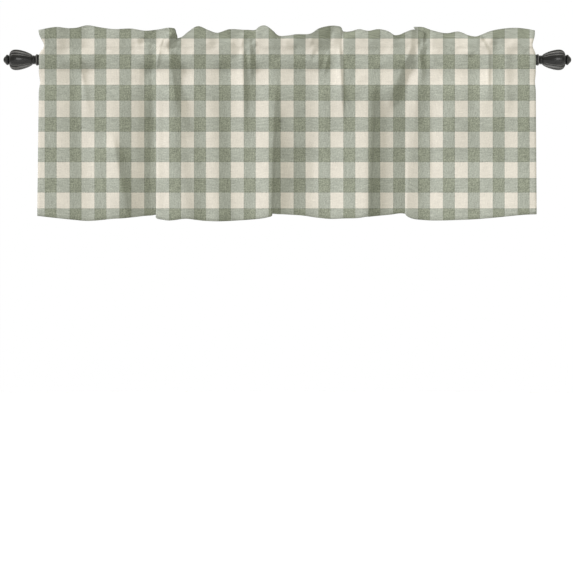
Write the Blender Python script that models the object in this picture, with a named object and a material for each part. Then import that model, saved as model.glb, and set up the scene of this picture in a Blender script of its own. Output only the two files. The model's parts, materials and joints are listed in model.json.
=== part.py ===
"""Rod-pocket window valance on a curtain rod with two turned finials.

One cloth panel hangs from a straight tube. The tube runs through a pocket sewn
across the panel, the cloth above the pocket stands up as a frill, and the cloth
below it falls in uneven folds to a turned hem.

Frame: metres, +Z up, +X along the rod, the front of the cloth faces -Y. The
origin is on the rod's axis at half its length.
"""

import math

import bmesh
import bpy
import numpy as np

MM = 0.001  # every size below is written in millimetres and turned to metres by this

# Rod and finials
ROD_RADIUS = 12.7 * MM
ROD_WALL = 1.2 * MM
ROD_HALF_LENGTH = 598.5 * MM
ROD_SIDES = 32
FIT_GAP = 0.3 * MM  # between pieces that meet
SPIGOT_LENGTH = 25.0 * MM
SPIGOT_CHAMFER = 1.5 * MM
FLUTES = 10
SIDES_PER_FLUTE = 4
FLUTE_DEPTH = 0.07  # share of the radius lost in the hollow of a flute

# Cloth
PLY = 1.5 * MM  # one layer of cloth
ROD_CLEARANCE = 2.3 * MM  # between the rod and the pocket's inner face
UPPER_SEAM_Z = 29.0 * MM
LOWER_SEAM_Z = -54.0 * MM
FACING_TAIL = 6.0 * MM  # how far the rear layer runs below the lower seam
HEM_DEPTH = 26.0 * MM
HEM_EXTRA = 1.0 * MM  # thickness that the turned hem adds at the back
TOP_ROUND = 1.0 * MM  # height of the rounded top fold over the two layers
FOLD_OPENING = 0.16  # share of the drop over which the folds open to most of their depth
EDGE_INSET_LEFT = 13.0 * MM  # the side edges draw in at the upper seam
EDGE_INSET_RIGHT = 8.0 * MM
EDGE_INSET_REACH = 45.0 * MM  # how far in from the edge that shows
EDGE_INSET_HEIGHT = 22.0 * MM  # and how far above and below the seam
SEAM_SWAY = 0.5  # share of the lower seam's sway in plan that the upper seam follows
FRILL_SWAY = 0.25  # and its share of the frill's lean
FRILL_CURL = 1.4  # above 1, the frill leans more towards its top edge
MEAN_HEM_Z = -380.0 * MM
POCKET_FOOT = (0.68, 0.43)  # heights of the two lowest pocket rows, as shares of the lower seam's
POCKET_ROUND = (-0.92, 0.8)  # where the rows round the rod start and end, as shares of the round
POCKET_HEAD = 1.28  # the pocket's highest row, as a share of the round's radius

COLUMNS = 72
PANEL_ROWS = 7
POCKET_ROWS = 6  # those round the rod
HEADER_ROWS = 3
COLUMN_SPACING = 20.0 * MM  # a column is placed for each such run of cloth,
COLUMN_TURN = math.radians(24.0)  # for each such turn in plan,
COLUMN_RISE = 9.0 * MM  # and for each such rise or dip of the top edge
FINE_STEPS = 6000  # points along the hem line when those are measured

# Fold lines from the lower seam to the hem, left to right, in millimetres.
# forward is the distance in front of the rod's axis. Where hem_x steps back, the
# cloth is folded over itself.
FOLD_COLUMNS = ("name", "seam_x", "hem_x", "seam_forward", "hem_forward", "hem_z")
FOLDS = (
    ("left_edge", -597, -601, 0, 0, -375),
    ("left_swell", -547, -542, 3, 9, -382),
    ("left_hollow", -508, -496, -2, 7, -386),
    ("second_swell", -462, -455, 3, 16, -386),
    ("slanting_ridge", -431, -418, 2, 11, -382),
    ("slanting_trough", -407, -376, 0, -7, -377),
    ("low_ridge", -366, -352, 0, -9, -375),
    ("first_valley", -332, -322, -2, -21, -374),
    ("first_turn_back", -322, -309, -1, -12, -374),
    ("first_turn_front", -311, -318, 1, 3, -380),
    ("narrow_crest", -294, -291, 3, 17, -385),
    ("narrow_shoulder", -246, -228, 0, 8, -387),
    ("shallow_hollow", -186, -181, 0, -1, -388),
    ("soft_valley", -150, -137, -2, -6, -386),
    ("broad_rise", -105, -95, 1, 9, -383),
    ("broad_crest", -61, -51, 3, 21, -380),
    ("second_turn_front", -44, -38, 1, 11, -379),
    ("second_turn_back", -35, -48, -1, -8, -373),
    ("second_valley", -16, -16, -2, -20, -371),
    ("valley_rise", 31, 22, -1, -9, -374),
    ("middle_slope", 74, 74, 1, 5, -380),
    ("middle_crest", 151, 156, 3, 17, -381),
    ("crest_edge", 180, 187, 2, 19, -379),
    ("third_turn_front", 194, 197, 1, 9, -378),
    ("third_turn_back", 202, 187, -1, -7, -374),
    ("third_valley", 217, 214, -2, -18, -374),
    ("valley_floor", 252, 250, -1, -13, -372),
    ("fourth_turn_back", 290, 287, -1, -12, -369),
    ("fourth_turn_front", 298, 281, 1, 0, -371),
    ("right_ridge_foot", 314, 304, 2, 10, -381),
    ("right_crest", 379, 368, 3, 19, -386),
    ("right_shoulder", 439, 444, 2, 13, -384),
    ("right_hollow", 487, 490, -2, 4, -380),
    ("right_swell", 524, 531, 2, 6, -376),
    ("right_fall", 564, 569, 0, 1, -373),
    ("right_edge", 597, 599, 0, 0, -371),
)

# The frill's top edge, left to right, in millimetres: its height above the rod's
# axis and how far the edge leans in front of it.
HEADER_COLUMNS = ("name", "x", "top_z", "top_forward")
HEADER = (
    ("left_end", -598, 73, 0),
    ("left_peak", -554, 79, 4),
    ("left_dip", -511, 76, -2),
    ("second_peak", -479, 83, 3),
    ("second_slope", -419, 74, -3),
    ("long_rise", -361, 76, 4),
    ("small_dip", -334, 70, -2),
    ("notch_left", -277, 76, 9),
    ("notch_edge", -271, 75, 7),
    ("notch_floor", -263, 53, 0),
    ("notch_right", -253, 55, -4),
    ("third_peak", -215, 81, 3),
    ("third_dip", -170, 65, -4),
    ("flat_start", -150, 73, 2),
    ("flat_end", -75, 72, -3),
    ("fourth_peak", -56, 83, 4),
    ("wide_notch_left", -20, 58, -4),
    ("wide_notch_right", 14, 61, 2),
    ("wide_notch_end", 58, 64, 4),
    ("fifth_peak_left", 84, 78, -2),
    ("fifth_peak", 121, 81, 5),
    ("fifth_fall", 134, 67, -4),
    ("sixth_peak", 172, 73, 3),
    ("sixth_dip", 196, 69, -1),
    ("sixth_end", 222, 73, 3),
    ("seventh_dip", 266, 59, -5),
    ("seventh_rise", 302, 73, 6),
    ("eighth_peak", 318, 78, 7),
    ("eighth_fall", 348, 71, -3),
    ("eighth_dip", 384, 64, 3),
    ("small_peak", 411, 68, 3),
    ("ninth_dip", 449, 56, -5),
    ("ninth_rise", 481, 67, 8),
    ("right_peak", 541, 77, 2),
    ("right_end", 598, 71, 0),
)

# Finial outline from the rod's end outwards. Each row is a name, the distance along
# the axis and the radius, in millimetres, and how deep the flutes cut there, from 0
# for plain to 1 for full depth.
FINIAL = (
    ("collar_face", 0.3, 12.9, 0),
    ("collar_rim", 3.6, 14.0, 0),
    ("collar_edge", 4.6, 13.9, 0),
    ("collar_cove", 7.4, 10.9, 0),
    ("neck_groove", 9.2, 9.8, 0),
    ("neck_bead", 11.2, 10.8, 0),
    ("neck_fall", 13.2, 10.3, 0),
    ("urn_foot", 14.6, 11.6, 0.2),
    ("urn_lower", 21.0, 15.8, 0.8),
    ("urn_waist", 29.0, 19.6, 1),
    ("urn_belly", 37.0, 22.1, 1),
    ("urn_side", 45.0, 23.9, 1),
    ("urn_crown", 54.0, 24.9, 1),
    ("urn_shoulder", 60.0, 24.3, 1),
    ("urn_turn", 65.0, 21.4, 1),
    ("urn_cap", 68.6, 16.6, 0.8),
    ("urn_mouth", 70.4, 9.4, 0),
    ("knob_neck", 71.2, 9.0, 0),
    ("knob_rise", 72.2, 11.2, 0),
    ("knob_ring", 74.8, 11.8, 0),
    ("knob_fall", 77.4, 10.9, 0),
    ("knob_dome", 79.2, 8.8, 0),
    ("knob_cap", 82.0, 5.9, 0),
    ("knob_tip", 84.0, 1.6, 0),
)

# Finishes: base colour (linear), roughness, metallic
LINEN_GREEN = ((0.42, 0.45, 0.38), 0.9, 0.0)
DARK_BRONZE = ((0.035, 0.032, 0.030), 0.42, 0.7)


def column(table: tuple, names: tuple, name: str) -> np.ndarray:
    """One named column of a table in millimetres, turned to metres."""
    place = names.index(name)
    return np.array([row[place] for row in table], dtype=float) * MM


def clear_scene() -> None:
    """Removes every object that the file opened with."""
    for thing in list(bpy.data.objects):
        bpy.data.objects.remove(thing, do_unlink=True)


def finish(name: str, look: tuple) -> bpy.types.Material:
    """A Principled material with a colour, a roughness and a metallic value."""
    colour, roughness, metallic = look
    material = bpy.data.materials.new(name)
    material.use_nodes = True
    shader = material.node_tree.nodes["Principled BSDF"]
    shader.inputs["Base Color"].default_value = (*colour, 1.0)
    shader.inputs["Roughness"].default_value = roughness
    shader.inputs["Metallic"].default_value = metallic
    return material


def add_object(name: str, verts, faces, material: bpy.types.Material) -> bpy.types.Object:
    """A named object from points and faces, its faces turned outwards."""
    mesh = bpy.data.meshes.new(name)
    mesh.from_pydata([tuple(map(float, v)) for v in verts], [], faces)
    shape = bmesh.new()
    shape.from_mesh(mesh)
    bmesh.ops.triangulate(shape, faces=shape.faces[:])
    bmesh.ops.recalc_face_normals(shape, faces=shape.faces[:])
    shape.to_mesh(mesh)
    shape.free()
    mesh.materials.append(material)
    thing = bpy.data.objects.new(name, mesh)
    bpy.context.scene.collection.objects.link(thing)
    return thing


def curve_through(x: np.ndarray, y: np.ndarray, at: np.ndarray) -> tuple:
    """A smooth curve in plan through points, read at places between them.

    Each stretch is a cubic whose end directions are those of the two chords that
    meet there, the nearer point counting more. at holds places such as 3.25, a
    quarter of the way from point 3 to point 4.
    """
    points = np.stack([x, y], axis=1)
    chord = np.diff(points, axis=0)
    length = np.linalg.norm(chord, axis=1)[:, None]
    slope = chord / length
    inner = (slope[:-1] * length[1:] + slope[1:] * length[:-1]) / (length[1:] + length[:-1])
    tangent = np.concatenate([slope[:1], inner, slope[-1:]])
    k = np.clip(at.astype(int), 0, len(x) - 2)
    s = (at - k)[:, None]
    start = (1 + 2 * s) * (1 - s) ** 2
    leave = s * (1 - s) ** 2
    end = s**2 * (3 - 2 * s)
    arrive = s**2 * (s - 1)
    place = (
        start * points[k]
        + leave * length[k] * tangent[k]
        + end * points[k + 1]
        + arrive * length[k] * tangent[k + 1]
    )
    return place[:, 0], place[:, 1]


def header_value(name: str, x: np.ndarray) -> np.ndarray:
    """The frill's top height or lean at each x, eased between the table's rows."""
    rows_x = column(HEADER, HEADER_COLUMNS, "x")
    value = column(HEADER, HEADER_COLUMNS, name)
    k = np.clip(np.searchsorted(rows_x, x) - 1, 0, len(rows_x) - 2)
    s = np.clip((x - rows_x[k]) / (rows_x[k + 1] - rows_x[k]), 0, 1)
    eased = s * s * (3 - 2 * s)
    return value[k] + (value[k + 1] - value[k]) * eased


def column_places() -> np.ndarray:
    """Places of the mesh columns along the fold lines.

    They lie close together where the hem turns sharply in plan or the top edge
    rises steeply, and far apart where the cloth runs straight.
    """
    dense = np.linspace(0, len(FOLDS) - 1, FINE_STEPS)
    hem_x, hem_f = hem_plan(dense)
    seam_x, _ = seam_plan(dense)
    run = np.hypot(np.diff(hem_x), np.diff(hem_f))
    heading = np.unwrap(np.arctan2(np.diff(hem_f), np.diff(hem_x)))
    turn = np.abs(np.diff(heading, prepend=heading[0]))
    rise = np.abs(np.diff(header_value("top_z", seam_x)))
    cost = run / COLUMN_SPACING + turn / COLUMN_TURN + rise / COLUMN_RISE
    total = np.concatenate([[0.0], np.cumsum(cost)])
    return np.interp(np.linspace(0, total[-1], COLUMNS), total, dense)


def hem_plan(at: np.ndarray) -> tuple:
    """The hem's line in plan: x and the distance forward of the rod's axis."""
    hem_x = column(FOLDS, FOLD_COLUMNS, "hem_x")
    return curve_through(hem_x, column(FOLDS, FOLD_COLUMNS, "hem_forward"), at)


def seam_plan(at: np.ndarray) -> tuple:
    """The lower seam's line in plan."""
    seam_x = column(FOLDS, FOLD_COLUMNS, "seam_x")
    return curve_through(seam_x, column(FOLDS, FOLD_COLUMNS, "seam_forward"), at)


def edge_inset(x: np.ndarray, z: float) -> np.ndarray:
    """How far the cloth near a side edge is drawn in at height z."""
    near = np.exp(-(((z - UPPER_SEAM_Z) / EDGE_INSET_HEIGHT) ** 2))
    left = np.exp(-(x - x[0]) / EDGE_INSET_REACH) * EDGE_INSET_LEFT
    right = np.exp(-(x[-1] - x) / EDGE_INSET_REACH) * EDGE_INSET_RIGHT
    return near * (left - right)


def pocket_side(seam_forward: np.ndarray, header_forward: np.ndarray, z: float, side: int):
    """Distance forward of a pocket layer at height z.

    The layer runs straight from either seam to where it meets a round of the
    rod's radius and clearance, and follows that round between the two. side is 1
    for the front layer and -1 for the rear one.
    """
    reach = ROD_RADIUS + ROD_CLEARANCE
    forward = np.full_like(seam_forward, math.sqrt(max(reach**2 - z**2, 0.0)))
    for start_z, start_f in ((UPPER_SEAM_Z, header_forward), (LOWER_SEAM_Z, seam_forward)):
        up = math.copysign(1.0, start_z)
        away = np.hypot(start_f, start_z)
        bearing = np.arctan2(start_z, start_f * side)
        touch = bearing - up * np.arccos(reach / away)
        touch_z, touch_f = reach * np.sin(touch), reach * np.cos(touch)
        share = (z - start_z) / (touch_z - start_z)
        straight = start_f * side + (touch_f - start_f * side) * share
        forward = np.where((z - touch_z) * up >= 0, straight, forward)
    return side * forward


class Sheet:
    """The inner face of the cloth, as rows of points from the hem to the top."""

    def __init__(self):
        at = column_places()
        self.seam_x, self.seam_f = seam_plan(at)
        self.hem_x, self.hem_f = hem_plan(at)
        lines = np.arange(len(FOLDS), dtype=float)
        self.hem_z = np.interp(at, lines, column(FOLDS, FOLD_COLUMNS, "hem_z"))
        self.top_z = header_value("top_z", self.seam_x)
        self.top_f = header_value("top_forward", self.seam_x)
        self.header_f = SEAM_SWAY * self.seam_f + FRILL_SWAY * self.top_f

    def row(self, x: np.ndarray, forward: np.ndarray, z) -> np.ndarray:
        """Points of one row: x, -forward and z."""
        return np.stack([x, -forward, np.broadcast_to(z, x.shape)], axis=1)

    def panel(self, share: float) -> np.ndarray:
        """A row below the lower seam; share is 0 at the seam and 1 at the hem."""
        full = 1 - math.exp(-1 / FOLD_OPENING)
        opened = (1 - math.exp(-share / FOLD_OPENING)) / full
        x = self.seam_x + (self.hem_x - self.seam_x) * opened
        forward = self.seam_f + (self.hem_f - self.seam_f) * opened
        return self.row(x, forward, LOWER_SEAM_Z + (self.hem_z - LOWER_SEAM_Z) * share)

    def pocket(self, z: float, side: int) -> np.ndarray:
        """A row of the pocket's front or rear layer."""
        forward = pocket_side(self.seam_f, self.header_f, z, side)
        return self.row(self.seam_x + edge_inset(self.seam_x, z), forward, z)

    def header(self, share: float) -> np.ndarray:
        """A row of the frill; share is 0 at the upper seam and 1 at the top."""
        z = UPPER_SEAM_Z + (self.top_z - UPPER_SEAM_Z) * share
        forward = self.header_f + (self.top_f - self.header_f) * share**FRILL_CURL
        inset = edge_inset(self.seam_x, UPPER_SEAM_Z + share * EDGE_INSET_HEIGHT * 2)
        return self.row(self.seam_x + inset, forward, z)


def normals(rows: np.ndarray) -> np.ndarray:
    """Unit normals of a grid of rows, pointing to the front of the cloth."""
    across = np.gradient(rows, axis=1)
    up = np.gradient(rows, axis=0)
    normal = np.cross(across, up)
    return normal / np.linalg.norm(normal, axis=2)[:, :, None]


def make_cloth(material: bpy.types.Material) -> bpy.types.Object:
    """The valance: panel, pocket and frill as one closed sheet with a tunnel."""
    sheet = Sheet()
    drop = LOWER_SEAM_Z - MEAN_HEM_Z
    tail_share = FACING_TAIL / drop
    hem_share = 1 - HEM_DEPTH / drop
    shares = np.concatenate(
        [[1.0, hem_share], np.linspace(hem_share, tail_share, PANEL_ROWS)[1:], [0.0]]
    )
    heights = pocket_heights()
    header_shares = np.linspace(0, 1, HEADER_ROWS + 1)

    panel = [sheet.panel(s) for s in shares]
    front = [sheet.pocket(z, 1) for z in heights]
    rear = [sheet.pocket(z, -1) for z in heights]
    header = [sheet.header(s) for s in header_shares]
    panel[-1][:, 0] += edge_inset(sheet.seam_x, LOWER_SEAM_Z)

    front_face = np.array(panel + front + header)
    rear_face = np.array([panel[-1]] + rear + header)
    front_normal, rear_normal = normals(front_face), normals(rear_face)
    n_panel, n_pocket = len(panel), len(heights)

    outer_front = front_face + PLY * front_normal
    outer_rear = rear_face - PLY * rear_normal
    panel_rear = front_face[:n_panel]
    tail_rear = panel_rear[-2] - PLY * front_normal[n_panel - 2]
    hem_rear = panel_rear[:2] - HEM_EXTRA * front_normal[:2]
    top = header[-1] + np.array([0.0, 0.0, TOP_ROUND])

    loop, names = [], {}

    def put(name: str, points: np.ndarray) -> None:
        names[name] = len(loop)
        loop.append(points)

    for i, points in enumerate(outer_front):
        put(f"front_{i}", points)
    put("top", top)
    for i in range(len(outer_rear) - 1, -1, -1):
        put(f"rear_{i}", outer_rear[i])
    put("tail", tail_rear)
    for i in range(n_panel - 2, 0, -1):
        put(f"back_{i}", panel_rear[i])
    put("hem_step", hem_rear[1])
    put("hem_back", hem_rear[0])
    outer_count = len(loop)
    put("lower_apex", panel[-1])
    for i, points in enumerate(front):
        put(f"tunnel_front_{i}", points)
    put("upper_apex", header[0])
    for i in range(n_pocket - 1, -1, -1):
        put(f"tunnel_rear_{i}", rear[i])

    stations = len(sheet.seam_x)
    count = len(loop)
    verts = np.array(loop).transpose(1, 0, 2).reshape(-1, 3)
    faces = []
    for j in range(stations - 1):
        a, b = j * count, (j + 1) * count
        for first, last in ((0, outer_count), (outer_count, count)):
            for i in range(first, last):
                n = i + 1 if i + 1 < last else first
                faces.append((a + i, a + n, b + n, b + i))
    for base in (0, (stations - 1) * count):
        for polygon in end_cap(n_panel, n_pocket, HEADER_ROWS):
            faces.append(tuple(base + names[name] for name in polygon))
    return add_object("valance_cloth", verts, faces, material)


def pocket_heights() -> np.ndarray:
    """Heights of the pocket's rows between the seams, closer around the rod."""
    reach = ROD_RADIUS + ROD_CLEARANCE
    foot = np.array(POCKET_FOOT) * LOWER_SEAM_Z
    around = np.linspace(*POCKET_ROUND, POCKET_ROWS) * reach
    return np.concatenate([foot, around, [POCKET_HEAD * reach]])


def end_cap(n_panel: int, n_pocket: int, n_header: int) -> list:
    """The polygons that close one side edge, by the names of their corners."""
    top = n_panel + n_pocket + n_header  # the last front row
    polygons = [("front_0", "front_1", "back_1", "hem_step", "hem_back")]
    for i in range(1, n_panel - 2):
        polygons.append((f"front_{i}", f"front_{i + 1}", f"back_{i + 1}", f"back_{i}"))
    seam = n_panel - 1
    polygons.append(
        (f"front_{seam - 1}", f"front_{seam}", "lower_apex", "rear_0", "tail", f"back_{seam - 1}")
    )
    front = [f"front_{seam + i}" for i in range(n_pocket + 2)]
    rear = [f"rear_{i}" for i in range(n_pocket + 2)]
    inner_front = [f"tunnel_front_{i}" for i in range(n_pocket)]
    inner_rear = [f"tunnel_rear_{i}" for i in range(n_pocket)]
    for outer, inner in ((front, inner_front), (rear, inner_rear)):
        inner = ["lower_apex"] + inner + ["upper_apex"]
        for i in range(n_pocket + 1):
            polygons.append((outer[i], outer[i + 1], inner[i + 1], inner[i]))
    first = n_panel + n_pocket
    for i in range(n_header):
        low, high = first + i, n_pocket + 1 + i
        corners = (f"front_{low}", f"front_{low + 1}", f"rear_{high + 1}", f"rear_{high}")
        polygons.append(corners + (("upper_apex",) if i == 0 else ()))
    polygons.append((f"front_{top}", "top", f"rear_{n_pocket + 1 + n_header}"))
    return polygons


def make_rod(material: bpy.types.Material) -> bpy.types.Object:
    """A plain tube along X, open at both ends."""
    angle = np.arange(ROD_SIDES) * 2 * math.pi / ROD_SIDES
    rings = []
    for x, radius in (
        (-ROD_HALF_LENGTH, ROD_RADIUS),
        (ROD_HALF_LENGTH, ROD_RADIUS),
        (ROD_HALF_LENGTH, ROD_RADIUS - ROD_WALL),
        (-ROD_HALF_LENGTH, ROD_RADIUS - ROD_WALL),
    ):
        ring = np.stack([np.full(ROD_SIDES, x), radius * np.cos(angle), radius * np.sin(angle)], axis=1)
        rings.append(ring)
    faces = []
    for r in range(4):
        a, b = r * ROD_SIDES, (r + 1) % 4 * ROD_SIDES
        for i in range(ROD_SIDES):
            n = (i + 1) % ROD_SIDES
            faces.append((a + i, a + n, b + n, b + i))
    return add_object("curtain_rod", np.concatenate(rings), faces, material)


def make_finial(name: str, end: int, material: bpy.types.Material) -> bpy.types.Object:
    """A turned, fluted finial with a spigot that enters the tube. end is -1 or 1."""
    sides = FLUTES * SIDES_PER_FLUTE
    angle = np.arange(sides) * 2 * math.pi / sides
    hollow = FLUTE_DEPTH * (1 - np.abs(np.cos(angle * FLUTES / 2)))
    spigot = ROD_RADIUS - ROD_WALL - FIT_GAP
    profile = [
        (-SPIGOT_LENGTH, spigot - SPIGOT_CHAMFER, 0),
        (-SPIGOT_LENGTH + SPIGOT_CHAMFER, spigot, 0),
        (FIT_GAP, spigot, 0),
    ]
    profile += [(along * MM, radius * MM, fluting) for _name, along, radius, fluting in FINIAL]
    rings = []
    for along, radius, fluting in profile:
        r = radius * (1 - fluting * hollow)
        x = np.full(sides, end * (ROD_HALF_LENGTH + along))
        rings.append(np.stack([x, r * np.cos(angle), r * np.sin(angle)], axis=1))
    faces = []
    for r in range(len(rings) - 1):
        for i in range(sides):
            n = (i + 1) % sides
            faces.append((r * sides + i, r * sides + n, (r + 1) * sides + n, (r + 1) * sides + i))
    faces.append(tuple(range(sides)))
    faces.append(tuple((len(rings) - 1) * sides + i for i in range(sides)))
    return add_object(name, np.concatenate(rings), faces, material)


def main() -> None:
    """Builds the valance, its rod and the two finials."""
    clear_scene()
    bronze = finish("dark_bronze", DARK_BRONZE)
    make_cloth(finish("linen_check", LINEN_GREEN))
    make_rod(bronze)
    make_finial("finial_left", -1, bronze)
    make_finial("finial_right", 1, bronze)


main()
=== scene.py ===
"""Looks of a rod-pocket window valance: checked slub cloth on a rod with fluted finials.

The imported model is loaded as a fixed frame. The cloth is then made again as one
thin sheet that runs from the turned hem up the front, over the frill and down the
rear of the rod pocket, with its folds, puckers, turned side edges and stitching.
Metres, +Z up, +X along the rod, the cloth's front faces -Y, origin on the rod's
axis. Tables are in millimetres.
"""

import json
import logging
import math
from dataclasses import dataclass, field
from enum import Enum

import bpy
import numpy as np
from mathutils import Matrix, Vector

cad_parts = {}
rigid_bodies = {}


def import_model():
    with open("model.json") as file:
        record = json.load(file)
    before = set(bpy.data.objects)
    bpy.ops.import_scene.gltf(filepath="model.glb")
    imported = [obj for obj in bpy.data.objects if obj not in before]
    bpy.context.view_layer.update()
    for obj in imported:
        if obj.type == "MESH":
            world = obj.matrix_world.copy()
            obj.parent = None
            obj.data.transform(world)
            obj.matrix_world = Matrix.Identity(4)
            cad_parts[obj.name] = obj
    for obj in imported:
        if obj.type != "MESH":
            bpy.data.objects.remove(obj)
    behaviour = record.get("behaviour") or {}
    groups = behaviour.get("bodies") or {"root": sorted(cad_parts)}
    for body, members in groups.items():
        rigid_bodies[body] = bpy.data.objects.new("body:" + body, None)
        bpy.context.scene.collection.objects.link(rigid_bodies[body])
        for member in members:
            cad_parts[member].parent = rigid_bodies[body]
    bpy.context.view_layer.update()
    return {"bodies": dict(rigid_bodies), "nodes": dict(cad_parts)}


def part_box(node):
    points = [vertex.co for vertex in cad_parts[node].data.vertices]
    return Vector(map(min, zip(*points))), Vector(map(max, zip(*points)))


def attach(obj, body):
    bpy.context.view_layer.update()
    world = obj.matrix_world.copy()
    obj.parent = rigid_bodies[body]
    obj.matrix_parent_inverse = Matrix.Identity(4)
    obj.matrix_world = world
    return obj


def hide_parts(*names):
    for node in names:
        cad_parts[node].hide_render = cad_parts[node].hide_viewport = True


LOG = logging.getLogger("valance")
MM = 0.001
EYE_DISTANCE = 4.5  # metres in front of the rod's axis at which the valance is looked at
EYE_HEIGHT = -0.545  # level with the middle of the window that it would hang over


# ---------------------------------------------------------------- shape helpers


def table_array(rows: tuple, plain: int = 0) -> np.ndarray:
    """Turns a table in millimetres into metres, leaving out each row's name.

    Args:
        rows: rows of a name followed by numbers.
        plain: how many of the last columns are plain numbers, not millimetres.

    Returns:
        One array row for each table row.
    """
    table = np.array([row[1:] for row in rows], dtype=float)
    table[:, : table.shape[1] - plain] *= MM
    return table


def ease(x: np.ndarray) -> np.ndarray:
    """Smooth step: 3x^2 - 2x^3 between 0 and 1, flat outside."""
    x = np.clip(x, 0.0, 1.0)
    return x * x * (3.0 - 2.0 * x)


def curve_through(points: np.ndarray, at: np.ndarray) -> np.ndarray:
    """Reads a smooth curve through points.

    Each stretch is a cubic whose end directions are those of the two chords that
    meet there, the nearer point counting more.

    Args:
        points: one row for each point.
        at: places along the curve, such as 3.25 for a quarter of the way from
            point 3 to point 4.

    Returns:
        One row for each place.
    """
    chord = np.diff(points, axis=0)
    length = np.linalg.norm(chord, axis=1)[:, None]
    slope = chord / length
    inner = (slope[:-1] * length[1:] + slope[1:] * length[:-1]) / (length[1:] + length[:-1])
    tangent = np.concatenate([slope[:1], inner, slope[-1:]])
    k = np.clip(at.astype(int), 0, len(points) - 2)
    s = (at - k)[:, None]
    start, leave = (1 + 2 * s) * (1 - s) ** 2, s * (1 - s) ** 2
    end, arrive = s**2 * (3 - 2 * s), s**2 * (s - 1)
    before = start * points[k] + leave * length[k] * tangent[k]
    return before + end * points[k + 1] + arrive * length[k] * tangent[k + 1]


def grid_normals(grid: np.ndarray) -> np.ndarray:
    """Unit normals of a grid of points, by the cross product of its two slopes.

    Args:
        grid: rows by columns by xyz.

    Returns:
        Unit vectors that point to the right side of the cloth.
    """
    normal = np.cross(np.gradient(grid, axis=1), np.gradient(grid, axis=0))
    return normal / np.maximum(np.linalg.norm(normal, axis=2), 1e-12)[:, :, None]


def run_lengths(grid: np.ndarray, axis: int) -> np.ndarray:
    """Length run along a grid: the sum of the straight steps from point to point.

    Args:
        grid: rows by columns by xyz.
        axis: 0 to run down the columns or 1 to run along the rows.

    Returns:
        For each point, its length from the first row or column.
    """
    step = np.linalg.norm(np.diff(grid, axis=axis), axis=2)
    pad = [(0, 0), (0, 0)]
    pad[axis] = (1, 0)
    return np.cumsum(np.pad(step, pad), axis=axis)


def at_lengths(values: np.ndarray, run: np.ndarray, lengths: np.ndarray) -> np.ndarray:
    """Reads each row of a grid at the same lengths from its start, in straight steps.

    Args:
        values: rows by columns by xyz.
        run: the length at each point, as run_lengths gives it along the rows.
        lengths: the lengths to read at.

    Returns:
        Rows by lengths by xyz.
    """
    after = np.clip((run[:, :, None] < lengths).sum(axis=1), 1, run.shape[1] - 1)
    low, high = (np.take_along_axis(run, k, axis=1) for k in (after - 1, after))
    start, end = (np.take_along_axis(values, k[:, :, None], axis=1) for k in (after - 1, after))
    return start + (end - start) * ((lengths - low) / (high - low))[:, :, None]


def grid_faces(rows: int, columns: int, wrap: bool = False) -> np.ndarray:
    """Corner numbers of the quads of a grid of points.

    Args:
        rows: how many rows of points.
        columns: how many points in a row.
        wrap: whether the last point of a row joins the first.

    Returns:
        One row of four corners for each quad.
    """
    r, c = np.meshgrid(np.arange(rows - 1), np.arange(columns if wrap else columns - 1), indexing="ij")
    n = (c + 1) % columns
    quads = [r * columns + c, r * columns + n, (r + 1) * columns + n, (r + 1) * columns + c]
    return np.stack([q.ravel() for q in quads], axis=1)


def make_mesh(name: str, verts: np.ndarray, faces: list) -> bpy.types.Object:
    """Puts points and faces into a new smooth object at the origin.

    Args:
        name: the object's name.
        verts: one row of xyz for each point.
        faces: arrays of faces, each array with one number of corners.

    Returns:
        The object, linked to the scene.
    """
    mesh = bpy.data.meshes.new(name)
    counts = np.concatenate([np.full(len(f), f.shape[1]) for f in faces])
    corners = np.concatenate([f.ravel() for f in faces])
    mesh.vertices.add(len(verts))
    mesh.vertices.foreach_set("co", verts.astype(np.float32).ravel())
    mesh.loops.add(len(corners))
    mesh.loops.foreach_set("vertex_index", corners.astype(np.int32))
    mesh.polygons.add(len(counts))
    starts = np.concatenate([[0], np.cumsum(counts)[:-1]])
    mesh.polygons.foreach_set("loop_start", starts.astype(np.int32))
    mesh.update(calc_edges=True)
    mesh.polygons.foreach_set("use_smooth", np.full(len(counts), True))
    mesh.validate()
    thing = bpy.data.objects.new(name, mesh)
    bpy.context.scene.collection.objects.link(thing)
    return thing


def add_uv(thing: bpy.types.Object, name: str, per_point: np.ndarray) -> None:
    """Gives a mesh a UV map.

    Args:
        thing: the mesh object.
        name: the map's name.
        per_point: a grid with one pair of numbers for each point.
    """
    layer = thing.data.uv_layers.new(name=name)
    corner = np.empty(len(thing.data.loops), dtype=np.int32)
    thing.data.loops.foreach_get("vertex_index", corner)
    layer.uv.foreach_set("vector", per_point.reshape(-1, 2)[corner].astype(np.float32).ravel())


def add_value(thing: bpy.types.Object, name: str, per_point: np.ndarray) -> None:
    """Gives a mesh a named number for each point."""
    layer = thing.data.attributes.new(name, "FLOAT", "POINT")
    layer.data.foreach_set("value", per_point.astype(np.float32).ravel())


# ------------------------------------------------------------------- node tools

MATH = "ShaderNodeMath"
RANGE = "ShaderNodeMapRange"
NOISE = "ShaderNodeTexNoise"
MIX = "ShaderNodeMix"
# What a Math node works out, as its settings.
PLUS = {"operation": "ADD"}
MINUS = {"operation": "SUBTRACT"}
TIMES = {"operation": "MULTIPLY"}
TIMES_PLUS = {"operation": "MULTIPLY_ADD"}  # the first times the second, plus the third
FRACTION = {"operation": "FRACT"}
SIZE = {"operation": "ABSOLUTE"}
LARGER = {"operation": "MAXIMUM"}
SINE = {"operation": "SINE"}
# How a Mix node joins two colours, and where those and the result are.
MIXED = {"data_type": "RGBA", "blend_type": "MIX", "clamp_factor": True}
TINTED = {"data_type": "RGBA", "blend_type": "MULTIPLY", "clamp_factor": True}
SHARE, FIRST, SECOND, RESULT = 0, 6, 7, 2


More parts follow.
